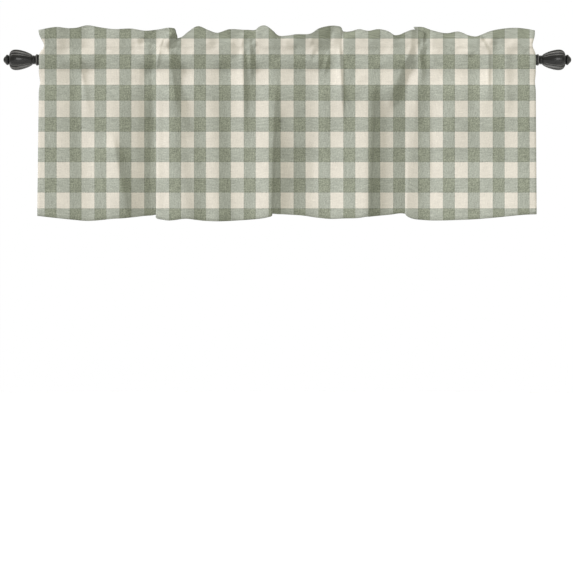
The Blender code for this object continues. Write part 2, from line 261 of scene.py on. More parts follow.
def linear(hex_colour: str) -> tuple:
    """Turns an sRGB colour into linear light.

    Args:
        hex_colour: the colour, such as "#e2dcd0".

    Returns:
        Red, green, blue and an alpha of 1.
    """
    parts = [int(hex_colour[i : i + 2], 16) / 255 for i in (1, 3, 5)]
    lin = [p / 12.92 if p <= 0.04045 else ((p + 0.055) / 1.055) ** 2.4 for p in parts]
    return (*lin, 1.0)


def feed(tree: bpy.types.NodeTree, target: bpy.types.Node, inputs: dict | tuple) -> None:
    """Sets or links a node's inputs.

    Args:
        tree: the node tree.
        target: the node.
        inputs: for each input, in order or by its name or number, a value, an output
            socket, or a node, which stands for its first output.
    """
    for key, value in inputs.items() if isinstance(inputs, dict) else enumerate(inputs):
        source = value.outputs[0] if isinstance(value, bpy.types.Node) else value
        if isinstance(source, bpy.types.NodeSocket):
            tree.links.new(source, target.inputs[key])
        else:
            target.inputs[key].default_value = source


def node(tree: bpy.types.NodeTree, kind: str, settings: dict, inputs: dict | tuple = ()) -> bpy.types.Node:
    """Adds a node with its settings and links.

    Args:
        tree: the node tree.
        kind: the node's type name.
        settings: properties to set on the node.
        inputs: what its inputs get, as for feed.

    Returns:
        The new node.
    """
    new = tree.nodes.new(kind)
    for name, value in settings.items():
        setattr(new, name, value)
    feed(tree, new, inputs)
    return new


def new_material(name: str) -> tuple:
    """Makes a material with an empty Principled shader.

    Args:
        name: the material's name.

    Returns:
        The material, its node tree and its Principled node.
    """
    material = bpy.data.materials.new(name)
    material.use_nodes = True
    tree = material.node_tree
    return material, tree, tree.nodes["Principled BSDF"]


# --------------------------------------------------------------------- finishes


class MapName(str, Enum):
    """Names of the cloth's UV maps."""

    CHECK = "check_repeat"  # counts repeats of the check, even as seen from the front
    CLOTH = "cloth_metres"  # metres along the flat cloth
    BAKE = "OFBake"  # the whole cloth once over the unit square


@dataclass(frozen=True)
class SlubCheckCloth:
    """Plain-woven cotton and polyester cloth with slubs, in a green and cream check.

    The eye sees flat matt bands, warp streaks where green runs down and weft
    streaks where it runs across, a speckle of uneven yarn, and a darker line
    along the edge of each band.
    """

    cream: str = "#d8d2c5"
    green_down: str = "#a4a79b"
    green_across: str = "#a8ab9f"
    green_double: str = "#8c907f"
    band_share: float = 0.478  # of a repeat that is green
    band_edge: float = 0.012  # softness of a band's edge, in repeats
    band_sway: float = 0.02  # how far the threads wander, in repeats
    line_width: float = 0.015  # the darker line along a band's edge, in repeats
    line_inset: float = 0.8  # how far inside the edge it lies, in its widths
    line_depth: float = 0.24
    warp_tone: tuple = (0.34, 0.16)  # how much streaks count: added on green, and everywhere
    weft_tone: tuple = (0.46, 0.16)
    fleck_tone: tuple = (0.58, 0.28)
    mottle_tone: float = 0.12
    slub_pale: float = 0.10  # how much paler the odd thick thread is
    slub_from: float = 0.68  # streaks between these two are the odd thick threads
    slub_full: float = 0.76
    fold_shade: float = 0.30  # painted shade: how much darker the frill's top fold edge is drawn
    yarn_mm: float = 1.1  # thread spacing, drawn twice as coarse as real, so that it shows
    slub_width_mm: float = 3.0
    slub_length_mm: float = 26.0
    speckle_mm: float = 3.3  # the mixed fibres' flecks, again coarser than real
    mottle_mm: float = 42.0
    weave_height: float = 0.35  # in the bump, where the speckle is 1
    slub_height: float = 0.5
    bump_strength: float = 0.35
    bump_mm: float = 0.35
    rough: tuple = (0.12, 0.84)  # roughness: added by the speckle, and at least

    def streaks(
        self,
        tree: bpy.types.NodeTree,
        place: bpy.types.Node,
        width_mm: float,
        length_mm: float,
        down: bool = True,
    ) -> bpy.types.Node:
        """Noise drawn out along one thread direction.

        Args:
            tree: the material's node tree.
            place: the node that gives metres along the cloth.
            width_mm: the streaks' width.
            length_mm: their length.
            down: whether they run down the cloth or across it.

        Returns:
            A node with values around 0.5.
        """
        across, along = 1 / (width_mm * MM), 1 / (length_mm * MM)
        scale = (across, along, 1.0) if down else (along, across, 1.0)
        mapping = node(tree, "ShaderNodeMapping", {}, {"Vector": place, "Scale": scale})
        grain = {"Vector": mapping, "Scale": 1.0, "Detail": 3.0, "Roughness": 0.62}
        return node(tree, NOISE, {"noise_dimensions": "2D"}, grain)

    def band(self, tree: bpy.types.NodeTree, along: bpy.types.Node) -> tuple:
        """Where the green bands lie along one direction.

        The distance from a band's middle, in repeats, is the distance of the
        coordinate from the nearest whole number.

        Args:
            tree: the material's node tree.
            along: the node that counts repeats.

        Returns:
            The band's share and the share of the line along its edge.
        """
        shifted = node(tree, MATH, FRACTION, (node(tree, MATH, PLUS, (along, 0.5)),))
        away = node(tree, MATH, SIZE, (node(tree, MATH, MINUS, (shifted, 0.5)),))
        half = self.band_share / 2
        smooth = {"interpolation_type": "SMOOTHSTEP"}
        inside = node(tree, RANGE, smooth, (away, half - self.band_edge, half + self.band_edge, 1.0, 0.0))
        off = node(tree, MATH, MINUS, (away, half - self.line_width * self.line_inset))
        line = node(tree, RANGE, smooth, (node(tree, MATH, SIZE, (off,)), 0.0, self.line_width, 1.0, 0.0))
        return inside, line

    def swayed(
        self, tree: bpy.types.NodeTree, count: bpy.types.NodeSocket, streak: bpy.types.Node
    ) -> bpy.types.Node:
        """Lets the threads wander a little, so that the bands' edges are not ruled lines.

        Args:
            tree: the material's node tree.
            count: the socket that counts repeats.
            streak: the noise that moves the threads.

        Returns:
            The node that counts repeats with the sway.
        """
        sway = node(tree, MATH, TIMES_PLUS, (streak, self.band_sway, -self.band_sway / 2))
        return node(tree, MATH, PLUS, (count, sway))

    def uneven(
        self, tree: bpy.types.NodeTree, streak: bpy.types.Node, green: bpy.types.Node, weights: tuple
    ) -> bpy.types.Node:
        """Tone of uneven yarn: the noise about its middle, times its weight.

        Args:
            tree: the material's node tree.
            streak: the noise.
            green: how green the cloth is there.
            weights: how much the noise counts: added on green, and everywhere.

        Returns:
            A node with values around 0.
        """
        weight = node(tree, MATH, TIMES_PLUS, (green, *weights))
        return node(tree, MATH, TIMES, (node(tree, MATH, MINUS, (streak, 0.5)), weight))

    def build(self) -> bpy.types.Material:
        """Makes the material.

        The colour is the check's, times 1 plus the tones of the yarn, the slubs, a painted
        shade along the frill's top fold edge and the bands' lines. The weave's height is the
        product of two sine waves, one for each thread direction.

        Returns:
            The cloth's material.
        """
        material, tree, shader = new_material("slub_check_cloth")
        check = node(tree, "ShaderNodeUVMap", {"uv_map": MapName.CHECK.value})
        cloth = node(tree, "ShaderNodeUVMap", {"uv_map": MapName.CLOTH.value})
        warp = self.streaks(tree, cloth, self.slub_width_mm, self.slub_length_mm)
        weft = self.streaks(tree, cloth, self.slub_width_mm, self.slub_length_mm, down=False)
        speckle = self.streaks(tree, cloth, self.speckle_mm, self.speckle_mm)
        mottle = self.streaks(tree, cloth, self.mottle_mm, self.mottle_mm)

        repeats = node(tree, "ShaderNodeSeparateXYZ", {}, (check,)).outputs
        down, down_line = self.band(tree, self.swayed(tree, repeats[0], weft))
        over, over_line = self.band(tree, self.swayed(tree, repeats[1], warp))
        pale = {SHARE: down, FIRST: linear(self.cream), SECOND: linear(self.green_down)}
        green = {SHARE: down, FIRST: linear(self.green_across), SECOND: linear(self.green_double)}
        rows = [node(tree, MIX, MIXED, row).outputs[RESULT] for row in (pale, green)]
        checked = node(tree, MIX, MIXED, {SHARE: over, FIRST: rows[0], SECOND: rows[1]}).outputs[RESULT]

        either = node(tree, MATH, PLUS, (down, over))
        tones = [
            self.uneven(tree, warp, down, self.warp_tone),
            self.uneven(tree, weft, over, self.weft_tone),
            self.uneven(tree, speckle, either, self.fleck_tone),
            node(tree, MATH, TIMES_PLUS, (mottle, self.mottle_tone, -self.mottle_tone / 2)),
        ]
        thickest = node(tree, MATH, LARGER, (warp, weft))
        slub = node(tree, RANGE, {}, (thickest, self.slub_from, self.slub_full))
        # painted shade: the colour is drawn darker along the frill's top fold edge
        edge_shade = node(tree, "ShaderNodeAttribute", {"attribute_name": "painted_edge_shade"}).outputs["Fac"]
        lines = node(tree, MATH, LARGER, (down_line, over_line))
        tone = 1.0
        for part in tones:
            tone = node(tree, MATH, PLUS, (tone, part))
        for part, depth in ((slub, self.slub_pale), (edge_shade, -self.fold_shade), (lines, -self.line_depth)):
            tone = node(tree, MATH, TIMES_PLUS, (part, depth, tone))
        grey = node(tree, "ShaderNodeCombineColor", {}, (tone, tone, tone))
        colour = node(tree, MIX, TINTED, {SHARE: 1.0, FIRST: checked, SECOND: grey}).outputs[RESULT]

        metres = node(tree, "ShaderNodeSeparateXYZ", {}, (cloth,)).outputs
        turns = math.pi / (self.yarn_mm * MM)
        phases = (node(tree, MATH, TIMES, (metres[i], turns)) for i in (0, 1))
        weave = node(tree, MATH, TIMES, tuple(node(tree, MATH, SINE, (phase,)) for phase in phases))
        height = node(tree, MATH, TIMES_PLUS, (weave, self.weave_height, speckle))
        slubs = node(tree, MATH, TIMES, (node(tree, MATH, PLUS, (warp, weft)), self.slub_height))
        height = node(tree, MATH, PLUS, (height, slubs))
        bump_inputs = {"Strength": self.bump_strength, "Distance": self.bump_mm * MM, "Height": height}
        looks = {
            "Base Color": colour,
            "Normal": node(tree, "ShaderNodeBump", {}, bump_inputs),
            "Roughness": node(tree, MATH, TIMES_PLUS, (speckle, *self.rough)),
            "Sheen Weight": 0.12,
            "Sheen Roughness": 0.5,
            "Specular IOR Level": 0.2,
        }
        feed(tree, shader, looks)
        return material


@dataclass(frozen=True)
class AgedBronzeLacquer:
    """Cast metal under a dark bronze lacquer, thinned by rubbing on its ridges, which also carry a painted
    highlight.

    The eye sees near black with a soft satin sheen, and a paler line along each
    edge, partly lacquer thinned by rubbing and partly a painted highlight.
    """

    dark: str = "#0b0a0a"
    # painted highlight and lacquer thinned by rubbing: the paler colour that the ridges get
    wear_highlight_colour: str = "#878582"
    grain_mm: float = 1.6
    cloud_grains: float = 9.0  # the paler patches on the ridges are this many grains across
    wear_highlight_share: tuple = (0.9, 0.25)  # of a ridge that is drawn paler, for rubbing and a painted highlight: added in patches, and at least
    rough: tuple = (0.16, 0.34)
    bump_mm: float = 0.2

    def build(self) -> bpy.types.Material:
        """Makes the material.

        Returns:
            The rod's and finials' material.
        """
        material, tree, shader = new_material("aged_bronze_lacquer")
        place = node(tree, "ShaderNodeTexCoord", {}).outputs["Object"]
        fine = 1 / (self.grain_mm * MM)
        grain = node(tree, NOISE, {}, {"Vector": place, "Scale": fine, "Detail": 3.0})
        cloud = node(tree, NOISE, {}, {"Vector": place, "Scale": fine / self.cloud_grains, "Detail": 2.0})
        ridge = node(tree, "ShaderNodeAttribute", {"attribute_name": "ridge"}).outputs["Fac"]
        # painted highlight and rubbing: the ridges are drawn paler, in patches
        wear_highlight = node(tree, MATH, TIMES, (ridge, node(tree, MATH, TIMES_PLUS, (cloud, *self.wear_highlight_share))))
        tones = {SHARE: wear_highlight, FIRST: linear(self.dark), SECOND: linear(self.wear_highlight_colour)}
        bump_inputs = {"Strength": 0.25, "Distance": self.bump_mm * MM, "Height": grain}
        looks = {
            "Base Color": node(tree, MIX, MIXED, tones).outputs[RESULT],
            "Normal": node(tree, "ShaderNodeBump", {}, bump_inputs),
            "Roughness": node(tree, MATH, TIMES_PLUS, (grain, *self.rough)),
            "Metallic": 0.1,
            "Specular IOR Level": 0.2,
            "Coat Weight": 0.55,
            "Coat Roughness": 0.18,
        }
        feed(tree, shader, looks)
        return material


@dataclass(frozen=True)
class SpunThread:
    """Spun polyester sewing thread, matt, close to the cloth's paler tones."""

    pale: str = "#c3c4b6"
    shade: str = "#a9ab9b"
    ply_mm: float = 0.5

    def build(self) -> bpy.types.Material:
        """Makes the material.

        Returns:
            The stitching's material.
        """
        material, tree, shader = new_material("spun_thread")
        place = node(tree, "ShaderNodeTexCoord", {}).outputs["Object"]
        plies = node(tree, NOISE, {}, {"Vector": place, "Scale": 1 / (self.ply_mm * MM), "Detail": 1.0})
        tones = {SHARE: plies, FIRST: linear(self.pale), SECOND: linear(self.shade)}
        colour = node(tree, MIX, MIXED, tones).outputs[RESULT]
        feed(tree, shader, {"Base Color": colour, "Roughness": 0.8})
        return material


# ------------------------------------------------------------------------ cloth

# Fold lines from the lower seam to the hem: name, place along the seam, x at the hem,
# distance in front of the rod's axis at the seam and at the hem, height of the hem,
# and the drop over which the fold opens out.
# Where x at the hem steps back, the cloth lies folded over itself.
FOLDS = (
    ("left_edge", -597, -601, 6, 1, -375, 60),
    ("left_swell", -561, -566, 8, 4, -379, 60),
    ("left_fall", -520, -518, 3, 3, -384, 60),
    ("left_hollow", -488, -480, 3, 0, -387, 60),
    ("second_rise", -462, -448, 6, 3, -385, 60),
    ("second_swell", -430, -420, 11, 8, -382, 60),
    ("slanting_edge", -400, -397, 11, 7, -381, 60),
    ("slanting_trough", -356, -368, 7, 1, -378, 60),
    ("low_floor", -333, -343, -2, -8, -375, 70),
    ("first_valley", -325, -328, -4, -12, -374, 70),
    ("first_turn_back", -320, -312, -3, -10, -373, 70),
    ("first_turn_front", -312, -316, 1, -5, -378, 70),
    ("narrow_rise", -298, -295, 3, 1, -385, 60),
    ("narrow_crest", -278, -240, 4, 8, -382, 60),
    ("crest_fall", -258, -216, 3, 2, -385, 50),
    ("shallow_hollow", -224, -196, 8, -1, -387, 50),
    ("mid_swell", -190, -170, 9, 1, -388, 60),
    ("soft_valley", -148, -120, 3, -7, -386, 60),
    ("broad_rise", -106, -90, 8, -4, -384, 60),
    ("broad_slope", -72, -68, 5, 3, -382, 70),
    ("broad_crest", -38, -46, 10, 9, -378, 80),
    ("second_turn_front", -28, -37, 11, 9, -375, 110),
    ("second_turn_back", -20, -39, 10, -3, -372, 105),
    ("second_valley", -2, -20, 8, -8, -371, 105),
    ("second_depth", 20, 6, 6, -15, -372, 125),
    ("valley_floor", 42, 36, 3, -18, -374, 140),
    ("valley_end", 64, 70, 1, -20, -379, 140),
    ("middle_rise", 96, 101, 6, -13, -382, 80),
    ("middle_slope", 140, 141, 13, -1, -381, 62),
    ("middle_crest", 172, 172, 11, 7, -380, 45),
    ("crest_edge", 198, 192, 11, 9, -377, 60),
    ("third_turn_front", 208, 200, 10, 6, -377, 60),
    ("third_turn_back", 216, 196, 9, -8, -377, 60),
    ("third_valley", 231, 216, 7, -12, -375, 60),
    ("third_floor", 256, 248, 6, -16, -372, 80),
    ("fourth_corner", 277, 277, 6, -19, -369, 80),
    ("fourth_turn_back", 286, 283, 7, -20, -370, 80),
    ("fourth_turn_front", 294, 286, 9, -19, -374, 80),
    ("right_foot", 312, 292, 12, -20, -378, 85),
    ("right_slope", 338, 330, 9, -24, -385, 85),
    ("right_rise", 366, 366, 10, -16, -386, 90),
    ("right_crest", 404, 404, 12, -7, -385, 130),
    ("right_shoulder", 448, 452, 9, 2, -383, 150),
    ("right_peak", 494, 500, 12, 14, -379, 130),
    ("right_fall", 536, 540, 12, 25, -375, 160),
    ("right_dip", 570, 572, 12, 30, -372, 160),
    ("right_edge", 597, 599, 10, 32, -371, 160),
)

# Fold lines of the frill: name, place along the seam, x at the top edge, distance in
# front of the frill's lean there, height of the edge.
FRILL = (
    ("left_end", -597, -598, 2, 72),
    ("left_peak", -554, -554, 7, 79),
    ("left_fall", -524, -524, -2, 76),
    ("left_dip", -508, -508, -4, 77),
    ("second_peak", -482, -482, -10, 83),
    ("second_slope", -450, -450, -6, 78),
    ("second_dip", -419, -419, -1, 74),
    ("long_rise", -375, -375, 2, 75),
    ("small_dip", -340, -340, 1, 70),
    ("small_rise", -312, -310, 1, 73),
    ("notch_crest", -295, -280, 4, 77),
    ("notch_corner", -290, -271, 3, 75),
    ("notch_side", -287, -267, 0, 64),
    ("notch_edge", -285, -264, -4, 52),
    ("notch_return", -283, -276, -9, 38),
    ("notch_floor", -281, -282, -8, 35),
    ("notch_rise", -264, -263, -3, 52),
    ("notch_flank", -257, -256, -3, 54),
    ("third_slope", -239, -239, -2, 67),
    ("third_peak", -215, -215, 2, 81),
    ("third_fall", -191, -191, 5, 72),
    ("third_dip", -170, -170, 0, 65),
    ("flat_start", -142, -142, 3, 73),
    ("flat_end", -104, -96, -4, 72),
    ("fourth_turn", -82, -75, -3, 73),
    ("fourth_rise", -72, -70, -1, 78),
    ("fourth_peak", -56, -56, 0, 83),
    ("fourth_fall", -37, -37, 3, 72),
    ("wide_notch_left", -20, -21, 0, 58),
    ("wide_notch_floor", -2, -2, 0, 58),
    ("wide_notch_right", 20, 20, 5, 61),
    ("wide_notch_end", 57, 57, 8, 63),
    ("fifth_rise", 76, 76, 0, 75),
    ("fifth_peak_left", 95, 95, -3, 80),
    ("fifth_peak", 116, 118, -12, 81),
    ("fifth_curl_front", 125, 129, -16, 78),
    ("fifth_curl_back", 131, 134, -18, 68),
    ("sixth_start", 138, 139, -15, 67),
    ("sixth_floor", 153, 153, -11, 68),
    ("sixth_peak", 172, 172, -6, 73),
    ("sixth_dip", 194, 194, -3, 69),
    ("seventh_peak", 220, 220, -2, 73),
    ("seventh_fall", 248, 248, -1, 65),
    ("seventh_drop", 256, 256, -1, 59),
    ("seventh_dip", 268, 268, -3, 59),
    ("seventh_rise", 285, 285, -5, 66),
    ("eighth_front", 304, 304, -9, 72),
    ("eighth_crest", 317, 320, -9, 71),
    ("eighth_front_edge", 326, 330, -10, 66),
    ("eighth_turn_back", 331, 304, -14, 78),
    ("eighth_peak", 338, 322, -15, 79),
    ("eighth_fall", 351, 348, -7, 71),
    ("eighth_dip", 384, 384, -11, 64),
    ("ninth_peak", 409, 411, -11, 68),
    ("ninth_fall", 439, 439, -7, 58),
    ("ninth_dip", 455, 455, -3, 56),
    ("tenth_rise", 470, 468, -4, 61),
    ("tenth_slope", 486, 485, -3, 68),
    ("tenth_shoulder", 519, 519, -4, 75),
    ("tenth_peak", 544, 544, -5, 77),
    ("right_slope", 581, 579, -3, 74),
    ("right_end", 597, 595, -1, 71),
)

# Puckers and creases: name, x and z of the upper end, x and z of the lower end, width
# to the left and to the right of the line, height, where minus is a trough, then two
# plain numbers: by what share both widths grow from end to end, and how round the
# ridge is, from 1 for a knife edge to 2 for a bell.
CREASES = (
    ("left_pucker", -502, 8, -474, -150, 10, 6, 6.5, 0.9, 1.5),
    ("left_trough", -508, -50, -506, -270, 18, 16, -3.0, 0.2, 2.0),
    ("left_hem_line", -452, -190, -440, -400, 20, 8, 2.0, 0.0, 1.5),
    ("crest_pucker", -307, 24, -322, -62, 7, 4, 3.6, 0.2, 1.5),
    ("crest_swell", -336, 36, -336, -6, 18, 12, 5.5, 0.0, 1.8),
    ("soft_swell", -138, 46, -138, -6, 34, 16, 4.0, 0.0, 1.8),
    ("crest_trough", -322, 14, -318, -44, 30, 7, -3.5, 0.0, 1.7),
    ("notch_cliff", -284, 22, -266, -130, 70, 10, 12.5, 0.0, 1.8),
    ("notch_cliff_low", -274, -78, -236, -195, 30, 12, 6.0, 0.0, 1.8),
    ("notch_flap", -278, 62, -288, 28, 14, 4, 6.0, 0.0, 1.7),
    ("slanting_cliff_left", -419, -196, -378, -400, 34, 12, 12.0, 0.0, 1.5),
    ("middle_pucker", -108, 30, -103, -190, 9, 6, 6.0, 0.5, 1.7),
    ("middle_pucker_b", -89, 34, -88, -46, 6, 6, 6.0, 0.1, 1.7),
    ("fifth_pucker", 102, 20, 86, -44, 6, 5, 3.6, 0.2, 1.6),
    ("middle_line", 98, -110, 98, -320, 14, 14, 2.2, 0.2, 1.5),
    ("fifth_pucker_b", 126, 28, 134, -145, 8, 3.5, 6.0, 0.4, 1.6),
    ("fifth_shoulder", 70, 56, 74, -70, 30, 14, 5.5, 0.0, 1.8),
    ("fifth_ridge", 91, -40, 92, -260, 12, 60, 3.4, 0.0, 1.5),
    ("slanting_cliff", 296, 22, 232, -130, 60, 8, 9.0, 0.6, 1.5),
    ("frill_swell", 140, 112, 140, 26, 130, 120, 5.5, 0.0, 2.0),
    ("slanting_floor", 305, 10, 256, -130, 5, 40, -4.5, 0.4, 1.8),
    ("cliff_top", 301, 88, 293, 6, 60, 8, 8.0, 0.0, 1.6),
    ("eighth_pucker", 318, 22, 325, -52, 6, 5, 6.0, 0.2, 1.5),
    ("eighth_arc", 340, 24, 380, -60, 20, 8, 4.0, 0.4, 1.6),
    ("eighth_hollow", 330, 24, 333, -20, 4, 6, -3.5, 0.3, 2.0),
    ("valley_trough", 58, -215, 58, -350, 56, 22, -5.0, 0.0, 2.0),
    ("right_low_line", 342, -110, 341, -350, 16, 5, 2.4, 0.0, 1.5),
    ("right_ridge", 402, -50, 402, -230, 42, 160, 11.5, 0.2, 1.7),
    ("right_line", 467, -60, 466, -370, 20, 36, 4.0, 0.0, 1.5),
    ("right_arc", 461, 56, 487, 14, 14, 4, 5.5, 0.0, 1.4),
    ("right_pucker", 484, 20, 484, -110, 15, 4, 4.4, 0.3, 1.4),
    ("right_pucker_b", 524, 30, 526, -150, 13, 14, 6.0, 0.3, 1.8),
    ("frill_tuck_a", -362, 50, -355, 24, 8, 4, 1.6, 0.0, 1.6),
    ("frill_tuck_b", -300, 48, -309, 26, 5, 4, 1.4, 0.0, 1.6),
    ("frill_tuck_d", 312, 46, 314, 16, 6, 4, 2.4, 0.0, 1.5),
    ("eighth_line", 325, 76, 335, 44, 9, 6, 3.6, 0.2, 1.5),
    ("fifth_line", 108, 72, 99, 8, 14, 5, -4.0, 0.0, 1.5),
    ("middle_pinch", -103, 62, -112, 26, 7, 5, 2.6, 0.0, 1.6),
    ("middle_pinch_b", -77, 44, -78, 26, 4, 3, 2.0, 0.0, 1.6),
)

# Small puckers that gathering leaves near the two seams: name, height of the upper
# end, length, then a plain number: how tall they are, as a share of the usual. A
# quarter of the puckers is of each kind.
PUCKERS = (
    ("frill_foot", 48, 18, 0.7),
    ("across_upper_seam", 42, 26, 0.6),
    ("below_upper_seam", 27, 24, 0.7),
    ("below_lower_seam", -40, 46, 0.3),
)


@dataclass
class ClothSheet:
    """The valance cloth: panel, pocket, frill and turned edges as one thin sheet."""

    rod_radius: float
    finish: bpy.types.Material
    thread: bpy.types.Material
    upper_seam: float = 29.0 * MM
    lower_seam: float = -54.0 * MM
    thickness: float = 0.6 * MM
    ply_gap: float = 1.0 * MM  # between the middles of two layers that lie together
    rod_room: float = 1.6 * MM  # from the rod to the middle of the pocket's layers
    least_room: float = 0.6  # the share of that room which a trough in the pocket leaves
    turn_width: float = 10.0 * MM  # the side edges' turned hems
    turn_steps: tuple = (1.0, 0.66, 0.33, 0.06)  # its columns, as shares of that width
    turn_round: float = 0.4 * MM  # how far the turned edge's round stands out
    hem_turn: float = 26.0 * MM
    hem_turn_rows: int = 5
    hem_gap: float = 1.1  # ply gaps between the turned hem and the panel
    hem_inside: float = 0.6 * MM  # its last row is this far above the fold
    stitch_inset: float = 2.5 * MM  # the hem's stitches, from the turning's raw edge
    tail: float = 6.0 * MM  # the rear layer below the lower seam
    frill_height: float = 44.0 * MM
    frill_base: float = 14.0 * MM  # the frill's foot stands this far in front of the rod's axis
    frill_lean: float = 21.0 * MM  # and its top edge this far
    frill_puff: tuple = (0.5, 0.7)  # half its two layers' gap: in ply gaps, and added half-way up
    swell: float = 4.5 * MM  # the panel swells forward by this below the lower seam
    swell_depth: float = 42.0 * MM  # most at this depth below it
    small_puckers: int = 260
    pucker_seed: int = 41
    tuck: float = 0.62  # share of the pocket's lower half in which the front tucks in
    columns: int = 412
    panel_rows: int = 48
    row_crowding: float = 0.92  # the panel's rows are a little closer near the seam
    pocket_rows: int = 24
    rear_rows: int = 12
    frill_rows: int = 15
    pleat_share: float = 0.4  # how much of the folds above and below shows at the upper seam
    fold_rise: float = 0.7 * MM  # a folded edge stands out this far past its two layers
    edge_shade_width: float = 2.6 * MM  # width of the painted shade along the frill's top fold edge
    opening_curve: float = 1.4  # powers that bend how the panel opens below its seam,
    ease_curve: float = 1.5  # how the pocket's top eases back,
    spread_curve: float = 1.3  # how the frill spreads
    lean_curve: float = 1.2  # and how it leans
    crease_start: tuple = (0.12, 0.3)  # shares of its length by which it starts early, and rises
    crease_end: tuple = (1.1, 0.55)  # at which it ends, and over which it falls before
    crease_tip: float = 0.08  # rounds the top of a sharp crease
    edge_draw: tuple = ((13.0 * MM, 3.0 * MM), (8.0 * MM, 2.0 * MM))  # at the two seams: left, right
    edge_reach: float = 45.0 * MM  # the draw fades out in this distance from the edge
    waist_rise: float = 3.0 * MM  # its upper waist is this far above the upper seam
    waist_spread: tuple = (22.0 * MM, 13.0 * MM, 14.0 * MM)  # above it, below it, at the lower seam
    side_reach: float = 14.0 * MM  # this near a side edge the layers part for its turned hem
    side_parting: tuple = (2.2, 1.3)  # by this many ply gaps: at the hem and tail, each half of the frill
    check_wide: float = 59.86 * MM  # the check's repeat across, as hung
    check_high: float = 73.1 * MM
    check_x: float = -509.3 * MM  # the middle of a green band
    check_z: float = 68.8 * MM
    seam_slip: float = 4.8 * MM  # the check drops this much more below the lower seam,
    slip_depth: float = 70.0 * MM  # by a smooth step of this depth
    flat: tuple = (1.385, 0.635)  # the cut, in metres, with all its turnings
    creases: np.ndarray = field(init=False)  # the named ones and the small puckers
    place: np.ndarray = field(init=False)  # places of the columns along the seam
    seam: np.ndarray = field(init=False)  # for each column, x and distance forward at the lower seam
    hem: np.ndarray = field(init=False)  # and at the hem
    hem_z: np.ndarray = field(init=False)
    opening: np.ndarray = field(init=False)  # the drop over which the fold opens out
    top: np.ndarray = field(init=False)  # x, distance forward and height at the frill's edge
    upper_forward: np.ndarray = field(init=False)  # distance forward at the upper seam
    sewn: dict = field(init=False)  # the sewn rows and their normals

    def __post_init__(self) -> None:
        """Reads the tables, spaces the columns and finds each column's seams and edges."""
        folds, frill = table_array(FOLDS), table_array(FRILL)
        named = table_array(CREASES, plain=2)
        self.creases = np.concatenate([named, self.scatter()])
        self.place = self.spaced_columns(folds, frill, named[:, 0])
        fold_at = np.interp(self.place, folds[:, 0], np.arange(len(folds)))
        frill_at = np.interp(self.place, frill[:, 0], np.arange(len(frill)))
        self.seam = curve_through(folds[:, [0, 2]], fold_at)
        self.hem = curve_through(folds[:, [1, 3]], fold_at)
        self.hem_z = curve_through(folds[:, [1, 4]], fold_at)[:, 1]
        self.hem_z = self.hung_height(self.hem_z, self.hem[:, 1]) + self.fold_rise
        self.opening = curve_through(folds[:, [0, 5]], fold_at)[:, 1]
        self.top = curve_through(frill[:, [1, 2, 3]], frill_at)
        pleat = self.seam[:, 1] + self.top[:, 1]
        self.upper_forward = self.frill_base + self.pleat_share * pleat
        self.top[:, 1] += self.frill_lean
        self.top[:, 2] = self.hung_height(self.top[:, 2], self.top[:, 1]) - self.fold_rise

    def hung_across(self, x: np.ndarray, forward: np.ndarray | float) -> np.ndarray:
        """True x of what is seen at x on the rod's plane; nearer cloth looks larger."""
        return x / (1 + forward / EYE_DISTANCE)

    def hung_height(self, z: np.ndarray, forward: np.ndarray) -> np.ndarray:
        """True height of what is seen at height z on the rod's plane."""
        return EYE_HEIGHT + (z - EYE_HEIGHT) / (1 + forward / EYE_DISTANCE)

    def spaced_columns(self, folds: np.ndarray, frill: np.ndarray, crease_x: np.ndarray) -> np.ndarray:
        """Spaces the columns closer at creases and where a fold line table turns back.

        Each place along the seam has a weight, and every column gets the same share
        of their sum. The weight is 1, plus what the hem's and the frill's lines run
        past the seam's, plus a bell at each crease.

        Args:
            folds: the panel's fold lines.
            frill: the frill's.
            crease_x: x of the named creases.

        Returns:
            Places along the lower seam, in metres.
        """
        run_pull, most_run, crease_pull, crease_reach = 0.8, 4.0, 1.6, 11 * MM
        samples = 8000
        dense = np.linspace(folds[0, 0], folds[-1, 0], samples)
        weight = np.full(len(dense), 1.0)
        for rows, columns in ((folds, (1, 3)), (frill, (1, 2))):
            at = np.interp(dense, rows[:, 0], np.arange(len(rows)))
            plan = curve_through(rows[:, list(columns)], at)
            run = np.linalg.norm(np.gradient(plan, axis=0), axis=1) / (dense[1] - dense[0])
            weight += run_pull * np.clip(run - 1.0, 0, most_run)
        close = np.exp(-(((dense[:, None] - crease_x) / crease_reach) ** 2)).sum(axis=1)
        weight += crease_pull * np.clip(close, 0, 1)
        total = np.cumsum(weight)
        total = (total - total[0]) / (total[-1] - total[0])
        return np.interp(np.linspace(0, 1, self.columns), total, dense)

    def scatter(self) -> np.ndarray:
        """Scatters the small puckers of the table, by the fixed seed.

        They lean a little either way and differ in length, width and height, and
        about half of them are troughs. Lengths are in millimetres until the end.

        Returns:
            Rows with the columns of the crease table.
        """
        side, shift, lean_share, usual_height, growth = 595, 8, 0.22, 1.5, 0.4
        chance = np.random.default_rng(self.pucker_seed)
        count = self.small_puckers
        kinds = np.array([row[1:] for row in PUCKERS])[np.arange(count) % len(PUCKERS)]
        x = chance.uniform(-side, side, count)
        start = kinds[:, 0] + chance.uniform(-shift, shift, count)
        length = kinds[:, 1] * chance.uniform(0.6, 1.6, count)
        lean = length * chance.normal(0, lean_share, count)
        width = chance.uniform(3.5, 9.5, (2, count))
        height = chance.normal(0, usual_height, count) * kinds[:, 2]
        roundness = chance.uniform(1.4, 2.0, count)
        in_mm = np.array([x, start, x + lean, start - length, *width, height]) * MM
        return np.concatenate([in_mm, [np.full(count, growth), roundness]]).T

